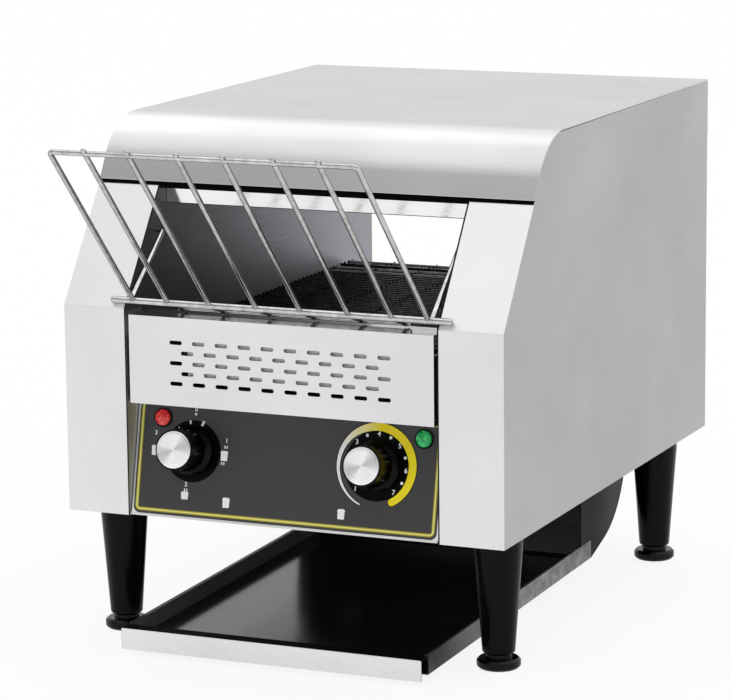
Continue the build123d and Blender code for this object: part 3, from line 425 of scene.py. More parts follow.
steel_shade_black = enamelled("black painted shade steel", "#070707", "#0d0c0c", 0.7, gloss=0.2)
zinc = spangled("galvanised sheet", "#757577", "#a2a3a4", "#4a4a4b", 0.44)
tin_pale = moulded("pale baffle coating", "#e4e4e3", 0.5)
wire_bright = drawn_wire("nickel plated rack wire", "#b9b7b6", "#dbd9d8", 0.12, rim="#000000")
# The belt's dark colours are heat blackening and painted shade together; the links are painted darker than
# the rods, as shade that hides their highlights.
wire_belt = belt_wire("heat and shade darkened belt wire", "#1f1e1e", "#5c5855", "#f0eeec", 0.26)
link_belt_painted_shade = belt_wire("sooted and shade darkened belt link", "#0b0b0b", "#141313", "#1d1c1c", 0.6)
bar_steel = drawn_wire("ground shaft steel", "#6d6d6e", "#8b8b8c", 0.28)
bronze = drawn_wire("sintered bronze", "#7a5a30", "#94713f", 0.4)
coil_wire = drawn_wire("heater coil alloy", "#6b655f", "#8d867e", 0.4)
zinc_cast = drawn_wire("zinc die casting", "#85878a", "#9fa1a4", 0.45)
quartz = clear_quartz("fused quartz")
enamel_chute = enamelled("dark stoved chute sheet", "#161617", "#242425", 0.45, gloss=0.15)
enamel_tray = enamelled("black tray enamel", "#141415", "#1c1c1d", 0.13, depth=0.004, gloss=0.32)
wall_enamel_painted_light = enamelled("black tray wall enamel lightened as painted light", "#515153", "#5c5c5e", 0.42, gloss=0.4)
plastic_leg = moulded("black moulded leg", "#030304", 0.22, Specular_IOR_Level=0.12)
plastic_foot = moulded("black moulded foot", "#030304", 0.14, depth=0.003, Specular_IOR_Level=0.2)
plastic_knob = moulded("black phenolic knob", "#040404", 0.16, depth=0.002, Specular_IOR_Level=0.12)
plastic_nylon = moulded("black nylon", "#141415", 0.45)
film_dark = moulded("dark printed film", "#3b3b3d", 0.38, grit=0.5, depth=0.002, Specular_IOR_Level=0.4)
ink_black = moulded("black printed ink", "#030303", 0.3, depth=0.001, Specular_IOR_Level=0.06)
ink_white = moulded("white printed ink", "#ffffff", 0.45, depth=0.001)
ink_gold = moulded("gold printed ink", "#a9a02a", 0.42, depth=0.001, Specular_IOR_Level=0.3)
ink_pale = moulded("pale gold printed ink", "#f3ec86", 0.42, depth=0.001)
ink_scale = fading_ink("browning scale ink", "#fbfbf8", "#ffe928")
ceramic = moulded("unglazed steatite", "#dcd8cc", 0.6, grit=0.6, depth=0.01)
mineral = moulded("mineral fibre board", "#d3c9ad", 0.95, grit=1.2, depth=0.25)
flat_black = moulded("flat black strip", "#010101", 0.7, Specular_IOR_Level=0.05)
lens_red = lens_plastic("red lamp lens", "#f0645a", "#b40812")
lens_green = lens_plastic("green lamp lens", "#3fcf78", "#00803a")
aluminium = spun("spun aluminium cap", "#cfcfcf", "#ffffff")


# ---------------------------------------------------------------- bent sheet pieces
def soften(node, materials, fold=FOLD, eased=EASED, choose=None, segments=3, edging=-1, windows=False):
    """Stands for a CAD piece: its folds get the round of bent sheet, its cut edges are eased.

    choose gives each face's place in materials, from the face's normal and middle; edging is the
    place of the finish on the folds, where it differs from the faces'. windows is for a sheet with
    a row of openings close together: its faces are cut in triangles, which the bevel keeps flat.
    """
    mesh = frame["nodes"][node].data.copy()
    mesh.materials.clear()
    work = bmesh.new()
    work.from_mesh(mesh)
    bmesh.ops.remove_doubles(work, verts=work.verts, dist=MERGE * MM)
    bmesh.ops.dissolve_limit(work, angle_limit=math.radians(1.0), verts=work.verts, edges=work.edges)
    weight = work.edges.layers.float.new("bevel_weight_edge")
    for edge in work.edges:
        if len(edge.link_faces) != 2 or edge.calc_face_angle(0.0) < FOLD_ANGLE:
            continue
        length = max(edge.calc_length(), 1e-6)
        width = min(face.calc_area() / length for face in edge.link_faces)
        broad = width > BROAD * MM and edge.is_convex
        edge[weight] = 1.0 if broad else eased / fold
    for face in work.faces:
        face.material_index = choose(face.normal, face.calc_center_median()) if choose else 0
    if windows:
        bmesh.ops.triangulate(work, faces=[face for face in work.faces if len(face.verts) > 4])
    work.to_mesh(mesh)
    work.free()
    body = frame["nodes"][node]["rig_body"]
    thing = piece("dressed_" + node, mesh, body, *materials)
    modifier(thing, "BEVEL", width=fold * MM, segments=segments, limit_method="WEIGHT",
             use_clamp_overlap=True, harden_normals=True, miter_outer="MITER_ARC", material=edging)
    modifier(thing, "WEIGHTED_NORMAL", keep_sharp=True, weight=60)
    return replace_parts(thing, node)


def side_faces(normal, middle):
    """Outer skin, folded rim with the front pillar, and the pillar's slope; each gets its own base colour as
    painted light and shade, the slope nearly white.
    """
    slope = normal.y < -0.5 and normal.z > 0.4
    return 0 if abs(normal.x) > 0.7 else 2 if slope else 1


def ledge_faces(normal, middle):
    """The ledge on top of the slotted panel is polished, and the panel's turned-in ends are painted dark as
    the shade in the gaps beside them.
    """
    if abs(normal.x) > 0.7:
        return 2
    return 1 if normal.z > 0.7 and middle.z > (SHOULDER - 6) * MM else 0


def edge_faces(normal, middle):
    """The front edges of the chamber's walls are painted black as shade."""
    return 1 if normal.y < -0.7 else 0


def runner_faces(normal, middle):
    """The runners are painted with the tray on their inner sides."""
    return 1 if normal.x * middle.x < 0 and abs(normal.x) > 0.7 else 0


def box_faces(normal, middle):
    """The heater box is bright inside; its front, over the mouth, is painted black as shade."""
    return 1 if normal.y < -0.7 and middle.y < at(0, 80, 0).y else 0


def end_faces(normal, middle):
    """The handle's cut ends, its hem's top and its return are painted with the tray."""
    inner = normal.y < -0.7 and middle.y > at(0, -15, 0).y
    return 1 if inner or max(abs(normal.x), normal.z) > 0.7 else 0


def mouth_faces(normal, middle):
    """The chute sheet's lower front edge is painted black as shade."""
    return 1 if normal.y < -0.7 and middle.z < 20 * MM else 0


def wall_faces(normal, middle):
    """The tray's upright sides are duller than its floor, and lighter as painted light."""
    return 1 if abs(normal.x) > 0.7 else 0


for side in ("left", "right"):
    soften("side_panel_" + side, [steel_side_painted_shade, steel_pillar_painted_light, steel_slope_painted_light], choose=side_faces, windows=True)
    soften("inner_wall_" + side, [steel_wall, steel_shade_black], fold=0.2, eased=0.2, choose=edge_faces)
soften("hood", [steel_hood], eased=0.3)
soften("vent_panel", [steel_front, steel_ledge, steel_painted_shade_edge], eased=0.3, choose=ledge_faces)
soften("vent_baffle", [tin_pale])
soften("control_panel", [steel_bright])
soften("panel_overlay", [film_dark], fold=0.12, eased=0.12)
soften("base_plate", [zinc])
soften("belt_deck", [steel_wall])
soften("rear_panel", [steel_rear])
soften("toast_chute", [enamel_chute, flat_black], choose=mouth_faces)
soften("tray_runners", [zinc, wall_enamel_painted_light], choose=runner_faces)
soften("tray_pan", [enamel_tray, wall_enamel_painted_light], fold=0.9, choose=wall_faces)
soften("tray_handle", [steel_handle, flat_black], choose=end_faces)
# The crossbar's folds are painted black as the shade under the hood's lip.
soften("mouth_crossbar", [steel_mirror, steel_shade_black], edging=1)
soften("upper_reflector", [steel_bright, steel_shade_black], choose=box_faces)
soften("lower_reflector", [steel_bright])
soften("motor_bracket", [zinc])
soften("cord_gland", [plastic_nylon], fold=0.5)
soften("legs", [plastic_leg], fold=0.5, eased=0.5)
for corner in ("front_left", "front_right", "rear_left", "rear_right"):
    soften("foot_" + corner, [plastic_foot], fold=0.4, eased=0.4)
for knob in ("heat", "speed"):
    soften(knob + "_knob", [plastic_knob], fold=0.4, eased=0.3)

# These keep the shape of their CAD piece and only get a finish.
plain = {
    "heat_switch": plastic_nylon, "speed_control": plastic_nylon,
    "heat_spindle": bar_steel, "speed_spindle": bar_steel, "power_lamp_body": plastic_knob,
    "heating_lamp_body": plastic_knob, "terminal_block": ceramic, "thermal_cutout": plastic_nylon,
    "belt_front_wrap": wire_belt, "belt_rear_wrap": wire_belt, "idler_shaft": bar_steel,
    "drive_shaft": bar_steel, "idler_sprockets": bar_steel, "drive_sprockets": bar_steel,
    "idler_bearings": bronze, "drive_bearings": bronze, "gear_motor": zinc_cast,
    "tube_holders": ceramic, "guard_wires": wire_bright, "side_insulation": mineral,
    "top_insulation": mineral,
}
for node, material in plain.items():
    shape = frame["nodes"][node].data
    shape.materials.clear()
    shape.materials.append(material)


def prism(name, section, x, material):
    """Bar of one section, given as (y, z) points, between two limits across the toaster."""
    work = bmesh.new()
    ends = [[work.verts.new(at(side, y, z)) for y, z in section] for side in x]
    work.faces.new(ends[0])
    work.faces.new(list(reversed(ends[1])))
    for i in range(len(section)):
        j = (i + 1) % len(section)
        work.faces.new((ends[0][i], ends[0][j], ends[1][j], ends[1][i]))
    return piece(name, mesh_from(work, name), "casing", material, smooth=False)


# Black strips under the hood's lip, as painted shadow.
# Name, depth down the slope, how far it stands out, and half its length.
LIP_SHADOWS = (("hood_lip_shadow", 2.9, 0.35, HALF - 0.4), ("mouth_lip_shadow", 4.6, 0.3, WALL - 0.2))
LIP_SHADOW_START = (0.05, 0.03)     # its upper edge under the lip, and its back off the slope
CHUTE_EDGE = [(262.7, 9.2), (263.3, 9.2), (263.3, 12.0), (262.7, 11.8)]
CHUTE_HALF = 97.5


def lip_seals():
    """Two black strips of painted shadow under the hood's lip: a thin one all along it, a deeper one over the
    mouth.
    """
    down = Vector((-math.cos(SLOPE), -math.sin(SLOPE)))
    out = Vector((-math.sin(SLOPE), math.cos(SLOPE)))
    top, rear = LIP_SHADOW_START
    for name, height, proud, reach in LIP_SHADOWS:
        corners = [(top, rear), (height, rear), (height, proud), (top, proud)]
        section = [tuple(Vector(LIP) + down * a + out * b) for a, b in corners]
        prism(name, section, (-reach, reach), flat_black)


lip_seals()
prism("chute_turned_edge", CHUTE_EDGE, (-CHUTE_HALF, CHUTE_HALF), enamel_chute)


# ---------------------------------------------------------------- geometry trees
def tree_for(name, **sockets):
    """New geometry tree with named inputs; gives the tree and its input node."""
    tree = bpy.data.node_groups.new(name, "GeometryNodeTree")
    for label, kind in sockets.items():
        tree.interface.new_socket(label, in_out="INPUT", socket_type="NodeSocket" + kind)
    tree.interface.new_socket("Geometry", in_out="OUTPUT", socket_type="NodeSocketGeometry")
    return tree, add(tree, "NodeGroupInput").outputs


def end_tree(tree, geometry, material):
    """Ends a tree: its instances are made real and get their material."""
    real = add(tree, "GeometryNodeRealizeInstances", {"Geometry": geometry}).outputs[0]
    dressed = add(tree, "GeometryNodeSetMaterial", {"Geometry": real, "Material": material}).outputs[0]
    add(tree, "NodeGroupOutput", {"Geometry": dressed})
    return tree


def grown(name, tree, seed, body, node=None, smooth=True, **values):
    """Plain mesh that a geometry tree grows on a seed shape, riding on a body."""
    start = bpy.data.objects.new(name + "_seed", seed)
    bpy.context.scene.collection.objects.link(start)
    made = start.modifiers.new("grow", "NODES")
    made.node_group = tree
    for item in tree.interface.items_tree:
        if item.in_out == "INPUT" and item.name in values:
            made[item.identifier] = values[item.name]
    graph = bpy.context.evaluated_depsgraph_get()
    mesh = bpy.data.meshes.new_from_object(start.evaluated_get(graph), depsgraph=graph)
    mesh.name = name
    bpy.data.objects.remove(start)
    thing = piece(name, mesh, body, smooth=smooth)
    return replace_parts(thing, node) if node else thing


def lines_seed(name, runs):
    """Curve of straight runs; each point carries its bend radius in millimetres."""
    curve = bpy.data.curves.new(name, "CURVE")
    curve.dimensions = "3D"
    for points, bend in runs:
        spline = curve.splines.new("POLY")
        spline.points.add(len(points) - 1)
        for point, place in zip(spline.points, points):
            point.co = (*place, 1)
            point.radius = bend
    return curve


def points_seed(name, places):
    """Mesh of single points."""
    mesh = bpy.data.meshes.new(name)
    mesh.from_pydata(places, [], [])
    return mesh


# ---------------------------------------------------------------- wire belt
def rods_tree():
    """Straight cross rods; the odd ones are left out near the sprockets, whose teeth need their places."""
    tree, given = tree_for("belt rods", Geometry="Geometry", Count="Int", Pitch="Float", Half="Float",
                           Wire="Float", Place="Vector", First="Float", Last="Float")
    step = add(tree, "ShaderNodeCombineXYZ", {"Y": given["Pitch"]}).outputs[0]
    row = add(tree, "GeometryNodeMeshLine", {"Count": given["Count"], "Offset": step})
    left = add(tree, "ShaderNodeMath", {0: given["Half"], 1: -1.0}, operation="MULTIPLY").outputs[0]
    ends = {"Start": add(tree, "ShaderNodeCombineXYZ", {"X": left}).outputs[0],
            "End": add(tree, "ShaderNodeCombineXYZ", {"X": given["Half"]}).outputs[0]}
    line = add(tree, "GeometryNodeCurvePrimitiveLine", ends)
    section = add(tree, "GeometryNodeCurvePrimitiveCircle", {"Resolution": 10, "Radius": given["Wire"]})
    rod = add(tree, "GeometryNodeCurveToMesh",
              {"Curve": line.outputs[0], "Profile Curve": section.outputs[0], "Fill Caps": True})
    index = add(tree, "GeometryNodeInputIndex").outputs[0]
    odd = add(tree, "ShaderNodeMath", {0: index, 1: 2.0}, operation="MODULO").outputs[0]
    before = add(tree, "ShaderNodeMath", {0: index, 1: given["First"]}, operation="LESS_THAN").outputs[0]
    after = add(tree, "ShaderNodeMath", {0: index, 1: given["Last"]}, operation="GREATER_THAN").outputs[0]
    near = add(tree, "ShaderNodeMath", {0: before, 1: after}, operation="MAXIMUM").outputs[0]
    free = add(tree, "ShaderNodeMath", {0: odd, 1: near}, operation="MULTIPLY").outputs[0]
    taken = add(tree, "ShaderNodeMath", {0: 1.0, 1: free}, operation="SUBTRACT").outputs[0]
    rods = add(tree, "GeometryNodeInstanceOnPoints",
               {"Points": row.outputs[0], "Instance": rod.outputs[0], "Selection": taken})
    placed = add(tree, "GeometryNodeTransform", {"Geometry": rods.outputs[0], "Translation": given["Place"]})
    return end_tree(tree, placed.outputs[0], wire_belt)


def links_tree():
    """Hooked links in columns; each hooks round one rod and the next, a wire's width to the side."""
    tree, given = tree_for("belt links", Geometry="Geometry", Columns="Int", Rows="Int", Across="Float",
                           Along="Float", Wire="Float", Place="Vector", Seed="Int")
    size = {"Size X": given["Across"], "Size Y": given["Along"], "Vertices X": given["Columns"],
            "Vertices Y": given["Rows"]}
    grid = add(tree, "GeometryNodeMeshGrid", size)
    section = add(tree, "GeometryNodeCurvePrimitiveCircle", {"Resolution": 6, "Radius": given["Wire"]})
    link = add(tree, "GeometryNodeCurveToMesh",
               {"Curve": given["Geometry"], "Profile Curve": section.outputs[0], "Fill Caps": True})
    loose = add(tree, "FunctionNodeRandomValue", {"Min": (-0.03, 0.0, -0.02), "Max": (0.03, 0.0, 0.02),
                                                  "Seed": given["Seed"]}, data_type="FLOAT_VECTOR")
    links = add(tree, "GeometryNodeInstanceOnPoints",
                {"Points": grid.outputs[0], "Instance": link.outputs[0], "Rotation": loose.outputs[0]})
    placed = add(tree, "GeometryNodeTransform", {"Geometry": links.outputs[0], "Translation": given["Place"]})
    return end_tree(tree, placed.outputs[0], link_belt_painted_shade)


def link_line():
    """Centre line of one link: up behind its own rod, under it, and up before the next."""
    around = (BELT_ROD + BELT_LINK + 0.05) * MM
    first = [math.radians(a) for a in range(140, 280, 26)]
    last = [math.radians(a) for a in range(-90, 50, 26)]
    points = [(0, around * math.cos(a), around * math.sin(a)) for a in first]
    ahead = BELT_PITCH * MM
    points += [(LINK_STEP * MM, ahead + around * math.cos(a), around * math.sin(a)) for a in last]
    return lines_seed("link_line", [(points, 1.0)])


def belt():
    """Both flat runs of the belt."""
    rods, links = rods_tree(), links_tree()
    bodies = {"top": "belt_carrying", "return": "belt_returning"}
    for run, height in BELT_RUNS.items():
        first, last = BELT_WHOLE[run]
        grown("belt_%s_rods" % run, rods, points_seed("rods_seed", []), bodies[run], node="belt_%s_run" % run,
              Count=BELT_PITCHES + 1, Pitch=BELT_PITCH * MM, Half=(BELT_HALF + BELT_ROD) * MM,
              Wire=BELT_ROD * MM, Place=at(0, BELT_START, height), First=first, Last=last)
        middle = BELT_START + (BELT_PITCHES - 1) * BELT_PITCH / 2
        grown("belt_%s_links" % run, links, link_line(), bodies[run], node="belt_%s_run" % run,
              Columns=LINK_COLUMNS, Rows=BELT_PITCHES, Across=(2 * BELT_HALF - LINK_STEP) * MM,
              Along=(BELT_PITCHES - 1) * BELT_PITCH * MM, Wire=BELT_LINK * MM,
              Place=at(-LINK_STEP / 2, middle, height), Seed=4)


belt()


# ---------------------------------------------------------------- bread rack
def wire_tree():
    """Round wire along straight runs, bent at their corners, with rounded ends."""
    tree, given = tree_for("bent wire", Geometry="Geometry", Wire="Float")
    bend = add(tree, "ShaderNodeMath", {0: add(tree, "GeometryNodeInputRadius").outputs[0], 1: MM},
               operation="MULTIPLY").outputs[0]
    bent = add(tree, "GeometryNodeFilletCurve",
               {"Curve": given["Geometry"], "Count": 7, "Radius": bend, "Limit Radius": True}, mode="POLY")
    even = add(tree, "GeometryNodeSetCurveRadius", {"Curve": bent.outputs[0], "Radius": 1.0}).outputs[0]
    section = add(tree, "GeometryNodeCurvePrimitiveCircle", {"Resolution": 18, "Radius": given["Wire"]})
    bar = add(tree, "GeometryNodeCurveToMesh",
              {"Curve": even, "Profile Curve": section.outputs[0], "Fill Caps": True}).outputs[0]
    ball = add(tree, "GeometryNodeMeshUVSphere", {"Segments": 18, "Rings": 10, "Radius": given["Wire"]})
    tips = add(tree, "GeometryNodeCurveEndpointSelection", {"Start Size": 1, "End Size": 1}).outputs[0]
    ends = add(tree, "GeometryNodeInstanceOnPoints",
               {"Points": even, "Selection": tips, "Instance": ball.outputs["Mesh"]}).outputs[0]
    both = add(tree, "GeometryNodeJoinGeometry", {"Geometry": [bar, ends]}).outputs[0]
    return end_tree(tree, both, wire_bright)


def weld_tree():
    """Small flattened beads of weld metal."""
    tree, given = tree_for("weld beads", Geometry="Geometry", Size="Float", Seed="Int")
    round_bead = {"Radius": given["Size"], "Subdivisions": 3}
    ball = add(tree, "GeometryNodeMeshIcoSphere", round_bead).outputs["Mesh"]
    uneven = add(tree, "FunctionNodeRandomValue", {"Min": (1.0, 0.75, 0.75), "Max": (1.25, 0.95, 0.95),
                                                   "Seed": given["Seed"]}, data_type="FLOAT_VECTOR")
    beads = add(tree, "GeometryNodeInstanceOnPoints",
                {"Points": given["Geometry"], "Instance": ball, "Scale": uneven.outputs[0]}).outputs[0]
    return end_tree(tree, beads, wire_bright)


def rack():
    """Hanging bread rack: bent frame, six wires with feet, cross rods, two hook arms and welds."""
    along = Vector((math.cos(SLOPE), math.sin(SLOPE))) * RACK_REST[0]
    off = Vector((-math.sin(SLOPE), math.cos(SLOPE))) * (RACK_ROD + RACK_REST[1])
    rod_y, rod_z = along + off + Vector((0, SHOULDER))

    def up(x, distance):
        return at(x, rod_y - distance * math.cos(RACK_ANGLE), rod_z + distance * math.sin(RACK_ANGLE))

    shelf_y, shelf_z = rod_y + SHELF[0], rod_z - SHELF[1]
    frame_corners = ((-RACK_HALF, 0), (-RACK_HALF, RACK_LENGTH), (RACK_HALF, RACK_LENGTH), (RACK_HALF, 0))
    runs = [([up(*corner) for corner in frame_corners], FRAME_BEND)]
    for x in RACK_PLACES:
        tip = [at(x, shelf_y, shelf_z), at(x, shelf_y + SHELF[2], shelf_z)]
        runs.append(([up(x, RACK_LENGTH + RACK_BUMP), up(x, 0)] + tip, 2 * RACK_WIRE))
    shelf_half = max(RACK_PLACES) + SHELF_BEYOND
    runs.append(([at(-shelf_half, shelf_y, shelf_z), at(shelf_half, shelf_y, shelf_z)], 1.0))
    for side in (-1, 1):
        arm = [at(side * ARM_X, rod_y, rod_z), at(side * ARM_X, *HOOK), at(side * HOOK_END, *HOOK)]
        runs.append((arm, ARM_BEND))
    bent = wire_tree()
    reach = WALL + RACK_BEYOND - RACK_ROD
    rod = lines_seed("rod_line", [([at(-reach, rod_y, rod_z), at(reach, rod_y, rod_z)], 1.0)])
    wires = lines_seed("rack_lines", runs)
    grown("rack_wires", bent, wires, "bread_rack", node="wire_rack", Wire=RACK_WIRE * MM)
    grown("rack_rod", bent, rod, "bread_rack", node="wire_rack", Wire=RACK_ROD * MM)
    welds = [up(x, RACK_LENGTH) for x in RACK_PLACES]
    welds += [at(x, shelf_y, shelf_z) for x in RACK_PLACES]
    welds += [at(x, rod_y, rod_z) for x in RACK_PLACES + (-RACK_HALF, RACK_HALF)]
    grown("rack_welds", weld_tree(), points_seed("weld_points", welds), "bread_rack", node="wire_rack",
          Size=WELD * MM, Seed=7)


rack()


# ---------------------------------------------------------------- heating tubes
TUBE_RADIUS = 5.0
TUBE_BORE = 3.9               # radius
TUBE_COUNT = 3
COIL_INSET = 8                # from the tube's end to the coil
COIL_RADIUS = 2.9
COIL_WIRE = 0.33              # radius
COIL_TURNS = 84.0


def coil_tree():
    """Wound heater wire inside each tube."""
    tree, given = tree_for("heater coil", Geometry="Geometry", Turns="Float", Radius="Float", Length="Float",
                           Wire="Float")
    wound = {"Resolution": 9, "Rotations": given["Turns"], "Start Radius": given["Radius"],
             "End Radius": given["Radius"], "Height": given["Length"]}
    helix = add(tree, "GeometryNodeCurveSpiral", wound)
    section = add(tree, "GeometryNodeCurvePrimitiveCircle", {"Resolution": 4, "Radius": given["Wire"]})
    wire = add(tree, "GeometryNodeCurveToMesh",
               {"Curve": helix.outputs[0], "Profile Curve": section.outputs[0], "Fill Caps": True}).outputs[0]
    lying = add(tree, "GeometryNodeTransform", {"Geometry": wire, "Rotation": (0, math.pi / 2, 0)}).outputs[0]
    each = {"Points": given["Geometry"], "Instance": lying}
    coils = add(tree, "GeometryNodeInstanceOnPoints", each).outputs[0]
    return end_tree(tree, coils, coil_wire)


def heating_tubes():
    """Quartz tubes with their coils, upper and lower."""
    coil = coil_tree()
    for row in ("upper", "lower"):
        low, high = (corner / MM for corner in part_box(row + "_tubes"))
        end, radius = high.x, TUBE_RADIUS
        first, last = low.y + radius, high.y - radius
        places = [(first + i * (last - first) / (TUBE_COUNT - 1), low.z + radius) for i in range(TUBE_COUNT)]
        work = bmesh.new()
        for y, z in places:
            tube = bmesh.new()
            outline = [(TUBE_BORE, -end), (radius, -end), (radius, end), (TUBE_BORE, end), (TUBE_BORE, -end)]
            turned(tube, outline, 28)
            bmesh.ops.remove_doubles(tube, verts=tube.verts, dist=0.01)
            bmesh.ops.recalc_face_normals(tube, faces=tube.faces)
            lying = Matrix.Scale(MM, 4) @ Matrix.Translation((0, y, z)) @ Matrix.Rotation(math.pi / 2, 4, "Y")
            bmesh.ops.transform(tube, matrix=lying, verts=tube.verts)
            part = bpy.data.meshes.new("tube")
            tube.to_mesh(part)
            tube.free()
            work.from_mesh(part)
        mesh = bpy.data.meshes.new(row + "_quartz")
        work.to_mesh(mesh)
        work.free()
        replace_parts(piece(row + "_quartz", mesh, "casing", quartz), row + "_tubes")
        inside = end - COIL_INSET
        starts = [Vector((-inside, y, z)) * MM for y, z in places]
        grown(row + "_coils", coil, points_seed("coil_points", starts), "casing", node=row + "_tubes",
              Turns=COIL_TURNS, Radius=COIL_RADIUS * MM, Length=2 * inside * MM, Wire=COIL_WIRE * MM)


heating_tubes()


# ---------------------------------------------------------------- screws
SCREW_RADIUS = 3.5
SCREW_TOP = 0.78              # the head's flat top, as a share of its radius
RECESS = ((0.8, 4.2, 2.4), (4.2, 0.8, 2.4))  # the two bars of the cross
RECESS_RISE = 1.9
SCREW_INSET = 12              # of the two lower screws, from the chamber's walls


def screw_tree():
    """Pan-head screws with a cross recess."""
    tree, given = tree_for("pan head screws", Geometry="Geometry", Radius="Float", Height="Float")
    flat = {0: given["Radius"], 1: SCREW_TOP}
    top = add(tree, "ShaderNodeMath", flat, operation="MULTIPLY").outputs[0]
    head = add(tree, "GeometryNodeMeshCone", {"Vertices": 28, "Side Segments": 2, "Radius Top": top,
                                              "Radius Bottom": given["Radius"], "Depth": given["Height"]})
    cuts = []
    for size in RECESS:
        bar = add(tree, "GeometryNodeMeshCube", {"Size": tuple(s * MM for s in size)}).outputs["Mesh"]
        rise = {"Geometry": bar, "Translation": (0, 0, RECESS_RISE * MM)}
        cuts.append(add(tree, "GeometryNodeTransform", rise).outputs[0])
    cross = add(tree, "GeometryNodeMeshBoolean", {"Mesh 2": cuts}, operation="UNION").outputs[0]
    cut = add(tree, "GeometryNodeMeshBoolean", {"Mesh 1": head.outputs["Mesh"], "Mesh 2": cross},
              operation="DIFFERENCE").outputs[0]
    backwards = {"Geometry": cut, "Rotation": (-math.pi / 2, 0, 0)}
    facing = add(tree, "GeometryNodeTransform", backwards).outputs[0]
    screws = add(tree, "GeometryNodeInstanceOnPoints", {"Points": given["Geometry"], "Instance": facing})
    return end_tree(tree, screws.outputs[0], bar_steel)


def screws():
    """The six screws at the back, four in the hood's flange and two in the rear panel."""
    low, high = (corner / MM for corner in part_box("casing_screws"))
    edge, top = high.x - SCREW_RADIUS, high.z - SCREW_RADIUS
    bottom = low.z + SCREW_RADIUS
    places = [(x, top) for x in (-edge, -HALF / 3, HALF / 3, edge)]
    places += [(x, bottom) for x in (-WALL + SCREW_INSET, WALL - SCREW_INSET)]
    seed = points_seed("screw_points", [Vector((x, low.y, z)) * MM for x, z in places])
    grown("casing_screw_heads", screw_tree(), seed, "casing", node="casing_screws", smooth=False,
          Radius=SCREW_RADIUS * MM, Height=(high.y - low.y) * MM)


screws()


# ---------------------------------------------------------------- control panel
# Millimetres on the panel: sideways from the middle and up its slope.
INK = 0.04                    # thickness of a printed layer
BORDER_MIDDLE = (0.0, 35.6)
BORDER = (99.2, 33.6, 3.4)    # half width, half height and corner radius
HEAT_GROUND = 18.9            # radius of the black ground under the knob
SPEED_GROUND = 21.0
SCALE_START, SCALE_END = -159.0, 151.5
SCALE_STEP = 46.6             # angle between two numbers of the browning scale
SCALE_MIDDLE = 1.0            # angle of its middle number
SCALE_NUMBERS = 19.2          # radius on which its numbers and dots stand
SCALE_OUTER = 25.8
SCALE_PARTS = 110
# Share of the way along the scale, and its width there.
SCALE_WIDTHS = ((0.0, 0.9), (0.2, 2.0), (0.33, 3.0), (0.45, 4.6), (0.6, 5.0), (0.85, 5.0), (1.0, 4.4))
SLICES = ((-38.1, 11.3), (-41.5, 39.5), (38.2, 10.9), (-88.3, 39.5))
LOW_SLICE = (-66.2, 13.3, 5.0, 4.6)
TWO_STROKES = ((-40.7, 44.7), (-42.1, 34.7), (-65.7, 16.8))
OFF_ARROW = [(-63.4, 63.8), (-61.4, 63.8), (-62.4, 62.0)]
# Character, size and place of the heat knob's numbers.
HEAT_NUMBERS = (("0", 3.6, -62.35, 66.0), ("1", 3.8, -40.5, 48.6),
                ("2", 3.8, -65.8, 20.2), ("3", 3.8, -88.4, 50.0))
# Outline of a knob's cap over its base, and of a lamp's lens over its bezel, as (radius, height).
CAP_OUTLINE = ((0, 0), (11.3, 0), (11.3, 0.6), (10.9, 1.0), (8.4, 0.98), (5.1, 0.96), (1.6, 0.95), (0, 0.94))
LENS_OUTLINE = ((0, 0.0), (5.0, 0.0), (5.0, 0.7), (4.5, 1.5), (3.2, 2.2), (1.6, 2.5), (0, 2.58))
# Corners of a knob's pointer, as (distance from the axis, sideways, height over the panel).
POINTER = ((13.4, -0.75, 5.0), (13.4, 0.75, 5.0), (15.3, 0.35, 3.4), (15.3, -0.35, 3.4))
POINTER_THICK = 0.12


def ring_points(centre, radius, steps=72, start=0.0, sweep=360.0):
    """Points on a circle; angles go clockwise from straight up, as on a dial."""
    closed = abs(sweep) >= 360
    count = steps if closed else steps + 1
    angles = [math.radians(start + sweep * i / steps) for i in range(count)]
    return [(centre[0] + radius * math.sin(a), centre[1] + radius * math.cos(a)) for a in angles]


def dial(centre, radius, angle):
    """One point on a dial."""
    return ring_points(centre, radius, 1, angle, 0)[0]


def rounded(centre, half_width, half_height, corner, steps=6):
    """Outline of a rectangle with rounded corners."""
    points = []
    for turn, (sx, sy) in enumerate(((1, 1), (1, -1), (-1, -1), (-1, 1))):
        middle = (centre[0] + sx * (half_width - corner), centre[1] + sy * (half_height - corner))
        points += ring_points(middle, corner, steps, 90 * turn, 90)
    return points


